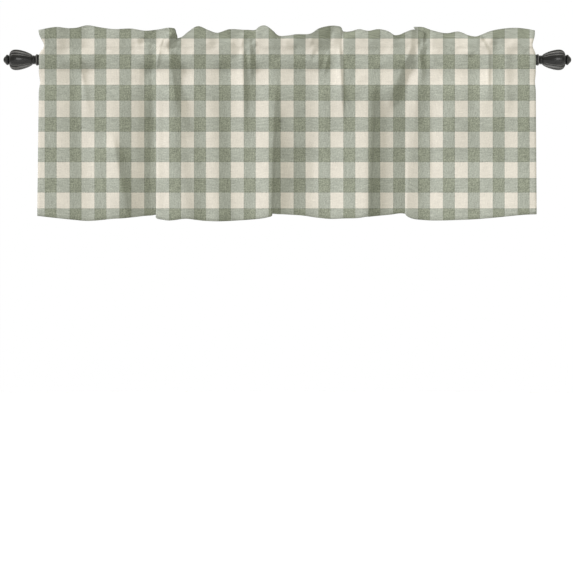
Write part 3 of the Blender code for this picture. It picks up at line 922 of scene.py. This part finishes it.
    def crease_height(self, x: np.ndarray, z: np.ndarray) -> np.ndarray:
        """Sum of the creases at each point.

        Across its line a crease is exp(-(distance / width)^roundness), with its own
        width on either side, and along the line it fades in and out.

        Args:
            x: places across.
            z: heights.

        Returns:
            Distance forward, in metres.
        """
        (early, rise), (end, fall) = self.crease_start, self.crease_end
        total = np.zeros(x.shape)
        for x0, z0, x1, z1, left, right, height, growth, roundness in self.creases:
            t = (z0 - z) / (z0 - z1)
            away = x - (x0 + (x1 - x0) * t)
            width = np.where(away < 0, left, right) * (1 + growth * np.clip(t, 0, 1))
            fade = ease((t + early) / rise) * ease((end - t) / fall)
            total += height * fade * np.exp(-(np.hypot(away / width, self.crease_tip) ** roundness))
        return total

    def edge_inset(self, z: np.ndarray | float) -> np.ndarray:
        """How far the cloth near its side edges draws in at each height.

        The draw is a bell in height at each seam, and fades by e to the minus
        distance from the edge.

        Args:
            z: heights, one for each column or one for all.

        Returns:
            Distance to the right, in metres, for each column.
        """
        spread_above, spread_below, spread_low = self.waist_spread
        above = z - self.upper_seam - self.waist_rise
        upper = np.exp(-((above / np.where(above > 0, spread_above, spread_below)) ** 2))
        lower = np.exp(-(((z - self.lower_seam) / spread_low) ** 2))
        from_edges = (self.place - self.place[0], self.place[-1] - self.place)
        left, right = (
            (at_upper * upper + at_lower * lower) * np.exp(-away / self.edge_reach)
            for (at_upper, at_lower), away in zip(self.edge_draw, from_edges)
        )
        return left - right

    def row(self, x: np.ndarray, forward: np.ndarray, z: np.ndarray | float) -> np.ndarray:
        """One row of points, from seen x, distance forward and height."""
        return np.stack([self.hung_across(x, forward), -forward, np.broadcast_to(z, x.shape)], axis=1)

    def panel(self, share: float) -> np.ndarray:
        """A row of the panel.

        Forward it goes from the seam's line to the hem's by 1 - exp(-(depth /
        opening)^power), and swells by depth times e to the minus depth.

        Args:
            share: 0 at the lower seam and 1 at the hem.

        Returns:
            The row's points.
        """
        z = self.lower_seam + (self.hem_z - self.lower_seam) * share
        opened = 1 - np.exp(-(((self.lower_seam - z) / self.opening) ** self.opening_curve))
        x = self.seam[:, 0] + (self.hem[:, 0] - self.seam[:, 0]) * share + self.edge_inset(z)
        depth = (self.lower_seam - z) / self.swell_depth
        swell = self.swell * depth * np.exp(1 - depth)
        forward = self.seam[:, 1] + (self.hem[:, 1] - self.seam[:, 1]) * opened + swell
        return self.row(x, forward + self.crease_height(x, z), z)

    def pocket_front(self, z: float) -> np.ndarray:
        """A row of the pocket's front layer.

        The layer stands furthest out level with the rod's axis. Above, it eases back
        to the frill's foot, and below it tucks in under the rod by a smooth step and
        drops straight to the lower seam. It never comes nearer the rod than its room.

        Args:
            z: the row's height.

        Returns:
            The row's points.
        """
        x = self.place + self.edge_inset(z)
        out = self.rod_radius + self.rod_room
        if z > 0:
            forward = out + (self.upper_forward - out) * (z / self.upper_seam) ** self.ease_curve
        else:
            forward = out + (self.seam[:, 1] - out) * ease(np.array(z / self.lower_seam / self.tuck))
        forward = forward + self.crease_height(x, np.full_like(x, z))
        closest = self.rod_radius + self.least_room * self.rod_room
        nearest = math.sqrt(max(closest**2 - z**2, 0.0))
        return self.row(x, np.maximum(forward, nearest), z)

    def pocket_rear(self, z: float) -> np.ndarray:
        """A row of the pocket's rear layer.

        The layer runs straight from either seam to where it meets a round of the
        rod's radius and room, and follows the round between the two.

        Args:
            z: the row's height.

        Returns:
            The row's points.
        """
        x = self.place + self.edge_inset(z)
        reach = self.rod_radius + self.rod_room
        behind = np.full_like(x, math.sqrt(max(reach**2 - z**2, 0.0)))
        for start_z, start in ((self.upper_seam, self.upper_forward), (self.lower_seam, self.seam[:, 1])):
            up = math.copysign(1.0, start_z)
            start = -start - self.crease_height(x, np.full_like(x, start_z))
            touch = np.arctan2(start_z, start) - up * np.arccos(reach / np.hypot(start, start_z))
            touch_z, touch_b = reach * np.sin(touch), reach * np.cos(touch)
            straight = start + (touch_b - start) * (z - start_z) / (touch_z - start_z)
            behind = np.where((z - touch_z) * up >= 0, straight, behind)
        return np.stack([self.hung_across(x, reach), behind, np.full_like(x, z)], axis=1)

    def header(self, share: float) -> np.ndarray:
        """A row of the frill, between its two layers.

        From the upper seam to the top edge it spreads and leans by powers of the
        share, and rises evenly.

        Args:
            share: 0 at the upper seam and 1 at the top edge.

        Returns:
            The row's points.
        """
        top_x, top_forward, top_z = self.top.T
        z = self.upper_seam + (top_z - self.upper_seam) * share
        x = self.place + (top_x - self.place) * share**self.spread_curve
        x = x + self.edge_inset(self.upper_seam + share * self.frill_height)
        lean = self.upper_forward + (top_forward - self.upper_forward) * share**self.lean_curve
        return self.row(x, lean + self.crease_height(x, z), z)

    def build_grid(self) -> tuple:
        """Lays out every row from the turned hem's raw edge to the rear tail.

        Layers that lie together are one layer moved along its normals. Near the side
        edges they part further, by exp(-(distance / reach)^4).

        Returns:
            The grid of points, and the numbers of the rows that are folded or sewn.
        """
        drop = self.lower_seam - float(self.hem_z.mean())
        shares = 1 - np.linspace(0, 1, self.panel_rows) ** self.row_crowding
        panel = np.array([self.panel(s) for s in shares])
        panel_normal = grid_normals(panel)
        near_edge = np.exp(-((self.place - self.place[0]) / self.side_reach) ** 4)
        near_edge += np.exp(-((self.place[-1] - self.place) / self.side_reach) ** 4)
        parting, frill_parting = (gaps * near_edge for gaps in self.side_parting)

        turn_shares = 1 - np.linspace(self.hem_turn / drop, self.hem_inside / drop, self.hem_turn_rows)
        turn = np.array([self.panel(s) for s in turn_shares])
        behind = self.ply_gap * (self.hem_gap + parting)[:, None] * panel_normal[0]
        bottom = panel[0] - 0.5 * behind - np.array([0, 0, self.fold_rise])

        low, high = self.lower_seam, self.upper_seam
        front_z, rear_z = (np.linspace(low, high, n + 2)[1:-1] for n in (self.pocket_rows, self.rear_rows))
        front = np.array([self.pocket_front(z) for z in front_z])
        rear = np.array([self.pocket_rear(z) for z in rear_z[::-1]])
        frill_shares = np.linspace(0, 1, self.frill_rows)
        header = np.array([self.header(s) for s in frill_shares])
        least, added = self.frill_puff
        puff = (least + added * np.sin(math.pi * frill_shares))[:, None] + frill_parting
        puff = self.ply_gap * puff[:, :, None] * grid_normals(header)
        top = header[-1] + np.array([0, 0, self.fold_rise])
        fore, aft = header + puff, (header - puff)[::-2]
        tail = np.array([self.panel(s) for s in (0.0, self.tail / drop)])
        tail = tail - (self.ply_gap * (1 + parting))[:, None] * panel_normal[-1]

        parts = [turn - behind, bottom[None], panel, front, fore, top[None], aft, rear, tail]
        ends = np.cumsum([len(part) for part in parts])
        rows = {"bottom": ends[0], "lower": ends[2] - 1, "upper": ends[3], "top": ends[4]}
        rows |= {"rear_upper": ends[6] - 1, "rear_lower": ends[7]}
        return np.concatenate(parts), rows

    def hem_stitch_rows(self) -> np.ndarray:
        """Three close rows of the panel, the middle one where the turned hem is sewn.

        Returns:
            The rows' points.
        """
        drop = self.lower_seam - float(self.hem_z.mean())
        sewn = 1 - (self.hem_turn - self.stitch_inset) / drop
        close = 0.01  # as a share of the panel
        return np.array([self.panel(share) for share in (sewn + close, sewn, sewn - close)])

    def turned_sides(self, grid: np.ndarray) -> np.ndarray:
        """Adds the side edges' narrow turned hems behind the sheet.

        Each turned hem is the sheet itself near its edge, moved to the wrong side
        by one layer and run back from the edge.

        Args:
            grid: the sheet's points.

        Returns:
            The wider grid.
        """
        normal = grid_normals(grid)
        steps = np.array(self.turn_steps) * self.turn_width
        parts = []
        for flip in (1, -1):
            side, facing = grid[:, ::flip], normal[:, ::flip]
            strip = at_lengths(side - self.ply_gap * facing, run_lengths(side, 1), steps)
            outward = side[:, 0] - side[:, 1]
            outward /= np.linalg.norm(outward, axis=1)[:, None]
            fold = side[:, 0] - 0.5 * self.ply_gap * facing[:, 0] + self.turn_round * outward
            parts.append(np.concatenate([strip, fold[:, None]], axis=1))
        return np.concatenate([parts[0], grid, parts[1][:, ::-1]], axis=1)

    def check_map(self, grid: np.ndarray, rows: dict) -> np.ndarray:
        """Counts the check's repeats at each point.

        Across, the count is the seen x over the repeat's width. Down the front it is
        the seen height over the repeat's height, and round the frill's edge and the
        hem's it goes on by the length of cloth that is passed.

        Args:
            grid: the sheet's points.
            rows: the numbers of the folded rows.

        Returns:
            One pair of counts for each point.
        """
        near = 1 - grid[:, :, 1] / EYE_DISTANCE
        seen_z = EYE_HEIGHT + (grid[:, :, 2] - EYE_HEIGHT) * near
        u = (grid[:, :, 0] * near - self.check_x) / self.check_wide
        slip = self.seam_slip * ease((self.lower_seam - seen_z) / self.slip_depth)
        v = (self.check_z - slip - seen_z) / self.check_high
        passed = run_lengths(grid, 0) / self.check_high
        low, high = rows["bottom"], rows["top"] - 1
        v[:low] = v[low] + passed[low] - passed[:low]
        v[high + 1 :] = v[high] + passed[high] - passed[high + 1 :]
        return np.stack([u, v], axis=2)

    def build(self) -> bpy.types.Object:
        """Makes the cloth, with its maps, its finish and its thickness.

        Returns:
            The cloth's object.
        """
        grid, marks = self.build_grid()
        normal = grid_normals(grid)
        seams = ("lower", "upper", "rear_upper", "rear_lower")
        self.sewn = {name: (grid[marks[name]], normal[marks[name]]) for name in seams}
        hem = self.hem_stitch_rows()
        self.sewn["hem"] = hem[1], grid_normals(hem)[1]
        grid = self.turned_sides(grid)
        rows, columns = grid.shape[:2]
        cloth = make_mesh("valance_sheet", grid.reshape(-1, 3), [grid_faces(rows, columns)])
        across, along = run_lengths(grid, 1), run_lengths(grid, 0)
        add_uv(cloth, MapName.CHECK.value, self.check_map(grid, marks))
        add_uv(cloth, MapName.CLOTH.value, np.stack([across, along], axis=2))
        add_uv(cloth, MapName.BAKE.value, np.stack([across / across[:, -1:], along / along[-1:]], axis=2))
        # painted shade along the frill's top fold edge, for the cloth's material
        edge_shade = np.exp(-(((along - along[marks["top"]]) / self.edge_shade_width) ** 2))
        add_value(cloth, "painted_edge_shade", edge_shade)
        cloth.data.materials.append(self.finish)
        solid = cloth.modifiers.new("cloth_thickness", "SOLIDIFY")
        solid.thickness = self.thickness
        solid.offset = 0.0
        LOG.info("cloth, flat: %.3f by %.3f m", float(across[:, -1].mean()), float(along[-1].mean()))
        return cloth

    def stitching(self) -> bpy.types.Object:
        """Sews the lock stitches of the pocket's two seams, front and rear, and the hem.

        Returns:
            One object with every stitch.
        """
        rows = [Stitches(line, normal).build() for line, normal in self.sewn.values()]
        starts = np.cumsum([0] + [len(points) for points, _ in rows])
        quads = np.concatenate([faces + start for (_, faces), start in zip(rows, starts)])
        thing = make_mesh("valance_stitching", np.concatenate([points for points, _ in rows]), [quads])
        thing.data.materials.append(self.thread)
        return thing


# One lock stitch: name, place along it and thickness, as shares of its length and of
# the thread's radius, then its height above the cloth in millimetres.
STITCH = (
    ("dips_in", -0.5, 0.25, -0.2),
    ("rises", -0.36, 0.85, 0.22),
    ("middle", 0.0, 1.0, 0.36),
    ("falls", 0.36, 0.85, 0.22),
    ("dips_out", 0.5, 0.25, -0.2),
)


@dataclass
class Stitches:
    """One row of lock stitches along a line on the cloth."""

    line: np.ndarray  # points along the seam
    normal: np.ndarray  # the cloth's normals there
    pitch: float = 3.4 * MM
    length: float = 2.5 * MM
    radius: float = 0.24 * MM  # of the thread
    sides: int = 6

    def build(self) -> tuple:
        """Makes a short spindle for each stitch, with its rings as the table says.

        Returns:
            The points and the quads of the whole row.
        """
        run = run_lengths(self.line[None], 1)[0]
        middle = np.arange(self.pitch, run[-1] - self.pitch, self.pitch)
        along, swell, lift = np.array([row[1:] for row in STITCH]).T
        at = middle[:, None] + along[None, :] * self.length
        centre = np.stack([np.interp(at, run, self.line[:, i]) for i in range(3)], axis=2)
        out = np.stack([np.interp(at, run, self.normal[:, i]) for i in range(3)], axis=2)
        ahead = np.gradient(centre, axis=1)
        ahead /= np.linalg.norm(ahead, axis=2)[:, :, None]
        side = np.cross(out, ahead)
        turn = np.arange(self.sides) * 2 * math.pi / self.sides
        ring = out[:, :, None] * np.cos(turn)[:, None] + side[:, :, None] * np.sin(turn)[:, None]
        centre = centre + out * lift[None, :, None] * MM
        points = centre[:, :, None] + ring * (swell * self.radius)[None, :, None, None]
        one = grid_faces(len(along), self.sides, wrap=True)
        first = np.arange(len(middle)) * len(along) * self.sides
        return points.reshape(-1, 3), (one[None] + first[:, None, None]).reshape(-1, 4)


# ----------------------------------------------------------------- rod, finials

# A finial's outline from the rod's end outwards: name, distance along the axis,
# radius, then two plain numbers: how deep the carving cuts there, as a share, and
# how wide the leaf on each petal is, as a share of the petal.
FINIAL = (
    ("spigot_chamfer", -24.5, 9.6, 0.0, 0.0),
    ("spigot_end", -23.5, 11.1, 0.0, 0.0),
    ("spigot_root", -1.0, 11.1, 0.0, 0.0),
    ("collar_inside", 0.3, 11.3, 0.0, 0.0),
    ("collar_face", 0.5, 12.5, 0.0, 0.0),
    ("collar_lip", 1.0, 13.0, 0.0, 0.0),
    ("collar_rise", 2.6, 13.6, 0.0, 0.0),
    ("collar_rim", 3.8, 14.0, 0.0, 0.0),
    ("collar_edge", 4.8, 13.6, 0.0, 0.0),
    ("collar_slope", 6.0, 11.9, 0.0, 0.0),
    ("collar_cove", 7.4, 10.7, 0.0, 0.0),
    ("neck_groove", 8.8, 9.9, 0.0, 0.0),
    ("neck_bead_rise", 9.6, 10.4, 0.0, 0.0),
    ("neck_bead", 11.2, 10.9, 0.0, 0.0),
    ("neck_bead_fall", 12.6, 10.4, 0.0, 0.0),
    ("foot_groove", 13.4, 10.2, 0.0, 0.0),
    ("urn_foot", 14.4, 11.3, 0.15, 0.02),
    ("urn_heel", 16.5, 13.2, 0.5, 0.06),
    ("urn_lower", 21.0, 15.8, 0.9, 0.14),
    ("urn_waist", 29.0, 19.4, 1.0, 0.3),
    ("urn_belly", 37.0, 22.0, 1.0, 0.43),
    ("urn_side", 45.0, 23.9, 1.0, 0.49),
    ("urn_crown", 53.0, 24.8, 1.0, 0.51),
    ("urn_shoulder", 60.0, 24.1, 1.0, 0.49),
    ("urn_turn", 65.0, 21.4, 0.9, 0.46),
    ("urn_cap", 68.2, 17.0, 0.7, 0.42),
    ("urn_mouth", 69.8, 11.6, 0.3, 0.4),
    ("knob_neck", 70.8, 9.3, 0.0, 0.0),
    ("knob_rise", 71.8, 11.4, 0.0, 0.0),
    ("knob_ring", 74.2, 12.5, 0.0, 0.0),
    ("knob_ring_edge", 76.6, 12.1, 0.0, 0.0),
    ("knob_step", 78.2, 9.9, 0.0, 0.0),
    ("knob_dome", 79.4, 8.7, 0.0, 0.0),
    ("knob_cap", 82.0, 6.2, 0.0, 0.0),
    ("knob_brow", 83.6, 3.4, 0.0, 0.0),
    ("knob_tip", 84.2, 1.0, 0.0, 0.0),
)


@dataclass
class Finial:
    """A turned and carved finial, one casting with a spigot in the tube."""

    name: str
    node: str
    rod_end: float  # x of the tube's end, with its sign
    finish: bpy.types.Material
    petals: int = 4
    petal_swell: float = 0.05  # heights and depths are shares of the radius
    groove_depth: float = 0.17
    groove_width: float = 0.15  # widths are shares of half a petal
    rim_height: float = 0.045
    rim_place: float = 0.76
    rim_width: float = 0.07
    petal_turn: float = 7.0  # degrees by which the front petal is turned down
    leaf_depth: float = 0.035
    leaf_edge: float = 0.10  # the cut beside the leaf deepens in this width
    cut_edge: float = 0.12  # and fades in this one before the next petal
    least_radius: float = 0.4 * MM
    collar_edge: tuple = (2.0 * MM, 5.0 * MM)  # the collar's paler edge, rubbing and painted highlight, lies between these distances
    collar_wear_highlight: float = 0.5  # of a rim's
    sides: int = 240
    rings: int = 150

    def carving(self, away: np.ndarray, leaf: np.ndarray) -> tuple:
        """How far the carving stands out or in round one ring.

        A petal swells by 1 - away^2. A groove, a bell, parts it from the next, with a
        raised rim beside it. Outside its pointed leaf the petal is cut back.

        Args:
            away: turn away from the petal's middle, 0 to 1 at the next petal.
            leaf: half the leaf's width at each ring, in the same measure.

        Returns:
            The height, as a share of the radius, and the rim's share.
        """
        groove = np.exp(-(((1 - away) / self.groove_width) ** 2))
        rim = np.exp(-(((away - self.rim_place) / self.rim_width) ** 2))
        cut = ease((away - leaf) / self.leaf_edge + 0.5) * ease((1.0 - away) / self.cut_edge)
        height = self.petal_swell * (1 - away**2) - self.groove_depth * groove
        return height + self.rim_height * rim - self.leaf_depth * cut, rim

    def build(self) -> bpy.types.Object:
        """Turns the outline round the axis and carves it.

        The radius is the outline's, times one plus the carving's height. The rims
        and the collar's edge count as ridges, which the finish draws paler, partly for
        rubbing and partly as a painted highlight.

        Returns:
            The finial's object.
        """
        rows = table_array(FINIAL, plain=2)
        at = np.linspace(0, len(rows) - 1, self.rings)
        along, radius = curve_through(rows[:, :2], at).T
        depth, leaf = (np.interp(at, np.arange(len(rows)), rows[:, i])[:, None] for i in (2, 3))
        sign = math.copysign(1.0, self.rod_end)
        turn = np.arange(self.sides) * 2 * math.pi / self.sides
        petal = (turn + sign * math.radians(self.petal_turn)) * self.petals / (2 * math.pi)
        away = 2 * np.abs(petal - np.round(petal))
        shape, rim = self.carving(away[None, :], leaf)
        reach = np.maximum(radius, self.least_radius)[:, None] * (1 + depth * (shape - self.petal_swell))
        x = np.broadcast_to((self.rod_end + sign * along)[:, None], reach.shape)
        ring = np.stack([x, -reach * np.cos(turn), sign * reach * np.sin(turn)], axis=2)
        poles = np.array([[x[0, 0], 0, 0], [x[-1, 0], 0, 0]])
        verts = np.concatenate([ring.reshape(-1, 3), poles])
        quads = grid_faces(self.rings, self.sides, wrap=True)
        count = self.rings * self.sides
        first = np.arange(self.sides)
        last = first + count - self.sides
        start = np.stack([np.roll(first, -1), first, np.full(self.sides, count)], axis=1)
        end = np.stack([last, np.roll(last, -1), np.full(self.sides, count + 1)], axis=1)
        thing = make_mesh(self.name, verts, [quads, start, end])
        # the rims and the collar's edge are marked as ridges, for a painted highlight and rubbing
        low, high = self.collar_edge
        edge = ((along > low) & (along < high))[:, None]
        ridge = np.clip(depth * rim + self.collar_wear_highlight * edge, 0, 1).ravel()
        add_value(thing, "ridge", np.concatenate([ridge, [0, 0]]))
        thing.data.materials.append(self.finish)
        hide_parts(self.node)
        return thing


@dataclass
class CurtainRod:
    """The plain tube, which keeps its CAD shape and gets its finish."""

    thing: bpy.types.Object
    finish: bpy.types.Material

    def dress(self) -> bpy.types.Object:
        """Puts the finish on the tube.

        Returns:
            The tube's object.
        """
        slots = self.thing.material_slots
        if not slots:
            self.thing.data.materials.append(self.finish)
        for slot in slots:
            slot.material = self.finish
        return self.thing


# ----------------------------------------------------------------------- studio

# Soft fill lights: name, place, what it is turned to, width of its square, watts.
# These are in metres.
FILLS = (
    ("fill_right", (1.8, -3.0, 0.4), (0.3, 0.0, -0.2), 1.2, 7.0),
    ("fill_front", (0.4, -5.0, 0.6), (0.0, 0.0, -0.2), 2.0, 60.0),
)


@dataclass
class Studio:
    """Pale floor, a bright paper screen all round, soft lights and the camera."""

    view_width: float = 1.378  # metres across the view, at the rod
    camera_x: float = -0.002
    sensor_mm: float = 36.0
    floor_z: float = -1.30
    floor_hole: float = 0.001  # the floor is a ring with next to no hole
    screen_radius: float = 9.0
    screen_height: float = 12.0
    sides: int = 64
    sky_strength: tuple = (0.27, 0.74)  # below and above
    air: str = "#fffff5"  # the sky is a little warm and the key a little cool, so shade is warm
    key_tint: str = "#f6f6ff"
    key_strength: float = 2.64  # watts for each square metre
    key_spread: float = 16.0  # degrees across, so that its shadows have soft edges
    key_turn: float = 64.0  # degrees to the left of the front
    key_rise: float = 26.0

    def paper(self, name: str, colour: str, glow: float) -> bpy.types.Material:
        """Matt paper that gives back the light of its colour and glows by itself.

        Args:
            name: the material's name.
            colour: its hex colour.
            glow: the strength of its own white light.

        Returns:
            The paper's material.
        """
        material, tree, shader = new_material(name)
        looks = {
            "Base Color": linear(colour),
            "Roughness": 0.9,
            "Specular IOR Level": 0.0,
            "Emission Color": linear("#ffffff"),
            "Emission Strength": glow,
        }
        feed(tree, shader, looks)
        return material

    def ring(self, heights: tuple, radii: tuple) -> tuple:
        """Points and quads of a round wall or floor between two rings.

        Args:
            heights: each ring's height.
            radii: each ring's radius.

        Returns:
            The points and the quads.
        """
        turn = np.arange(self.sides) * 2 * math.pi / self.sides
        rows = [
            np.stack([radius * np.cos(turn), radius * np.sin(turn), np.full(self.sides, z)], axis=1)
            for z, radius in zip(heights, radii)
        ]
        return np.concatenate(rows), grid_faces(2, self.sides, wrap=True)

    def stage_piece(
        self, name: str, heights: tuple, radii: tuple, paper: bpy.types.Material
    ) -> bpy.types.Object:
        """Adds one piece of the stage, which is seen but lights nothing diffusely.

        Args:
            name: the piece's name.
            heights: its two rings' heights.
            radii: and their radii.
            paper: its material.

        Returns:
            The piece's object.
        """
        verts, quads = self.ring(heights, radii)
        thing = make_mesh(name, verts, [quads])
        thing.data.materials.append(paper)
        thing.visible_diffuse = False
        return thing

    def lamp(self, name: str, place: tuple, aim: tuple, size: float, watts: float) -> None:
        """Adds a square soft light.

        Args:
            name: the light's name.
            place: where it stands.
            aim: the point that it is turned to.
            size: the width of its square.
            watts: its power.
        """
        data = bpy.data.lights.new(name, "AREA")
        data.shape, data.size, data.energy = "SQUARE", size, watts
        thing = bpy.data.objects.new(name, data)
        bpy.context.scene.collection.objects.link(thing)
        self.turn_to(thing, place, aim)

    def turn_to(self, thing: bpy.types.Object, place: tuple, aim: tuple) -> None:
        """Puts a light or camera at a place and turns it, with its top up.

        Args:
            thing: the light or camera.
            place: where it stands.
            aim: the point that it looks at.
        """
        ahead = np.array(aim, dtype=float) - np.array(place, dtype=float)
        ahead /= np.linalg.norm(ahead)
        right = np.cross(ahead, [0.0, 0.0, 1.0])
        right /= np.linalg.norm(right)
        up = np.cross(right, ahead)
        matrix = np.eye(4)
        matrix[:3, 0], matrix[:3, 1], matrix[:3, 2], matrix[:3, 3] = right, up, -ahead, place
        thing.matrix_world = matrix.T.tolist()

    def light(self) -> None:
        """Sets a sky that is brighter above, a soft key from the left and two fills."""
        scene = bpy.context.scene
        world = bpy.data.worlds.new("studio_air")
        world.use_nodes = True
        tree = world.node_tree
        look = node(tree, "ShaderNodeTexCoord", {}).outputs["Generated"]
        height = node(tree, "ShaderNodeSeparateXYZ", {}, (look,)).outputs[2]
        low, high = self.sky_strength
        strength = node(tree, MATH, TIMES_PLUS, (height, (high - low) / 2, (high + low) / 2))
        feed(tree, tree.nodes["Background"], (linear(self.air), strength))
        scene.world = world
        sun = bpy.data.lights.new("key_left", "SUN")
        sun.energy, sun.angle = self.key_strength, math.radians(self.key_spread)
        sun.color = linear(self.key_tint)[:3]
        key = bpy.data.objects.new("key_left", sun)
        key.visible_glossy = False  # no hard spark on the finials
        scene.collection.objects.link(key)
        turn, rise = math.radians(self.key_turn), math.radians(self.key_rise)
        place = (-math.sin(turn) * math.cos(rise), -math.cos(turn) * math.cos(rise), math.sin(rise))
        self.turn_to(key, place, (0.0, 0.0, 0.0))
        for fill in FILLS:
            self.lamp(*fill)

    def build(self) -> None:
        """Sets the stage, the light and the camera."""
        scene = bpy.context.scene
        pale = self.paper("pale_paper", "#fbfbfa", 0.1)
        lit = self.paper("lit_screen", "#050505", 1.0)
        level = (self.floor_z, self.floor_z)
        self.stage_piece("studio_floor", level, (self.floor_hole, self.screen_radius), pale)
        top = self.floor_z + self.screen_height
        screen = self.stage_piece("studio_screen", (self.floor_z, top), (self.screen_radius,) * 2, lit)
        screen.visible_shadow = screen.visible_glossy = False
        self.light()

        data = bpy.data.cameras.new("front_camera")
        data.sensor_width = self.sensor_mm
        data.lens = self.sensor_mm * EYE_DISTANCE / self.view_width
        data.clip_start, data.clip_end = 0.1, 60.0
        camera = bpy.data.objects.new("front_camera", data)
        scene.collection.objects.link(camera)
        x, z = self.camera_x, EYE_HEIGHT
        self.turn_to(camera, (x, -EYE_DISTANCE, z), (x, 0.0, z))
        scene.camera = camera
        scene.view_settings.view_transform = "Standard"


def report(piece: bpy.types.Object) -> None:
    """Logs a finished piece's name, points and finish."""
    LOG.info("%s: %d points, %s", piece.name, len(piece.data.vertices), piece.data.materials[0].name)


def main() -> None:
    """Builds the valance on its frame and sets the studio."""
    logging.basicConfig(level=logging.INFO, format="%(message)s")
    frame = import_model()
    body = next(iter(frame["bodies"]))
    bronze = AgedBronzeLacquer().build()

    rod_low, rod_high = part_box("curtain_rod")
    report(CurtainRod(frame["nodes"]["curtain_rod"], bronze).dress())

    for name, end in (("finial_left", rod_low[0]), ("finial_right", rod_high[0])):
        finial = Finial(f"{name}_turned", name, end, bronze).build()
        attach(finial, body)
        report(finial)

    sheet = ClothSheet((rod_high[2] - rod_low[2]) / 2, SlubCheckCloth().build(), SpunThread().build())
    cloth = sheet.build()
    stitching = sheet.stitching()
    for piece in (cloth, stitching):
        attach(piece, body)
        report(piece)
    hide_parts("valance_cloth")

    Studio().build()


if __name__ == "__main__":
    main()
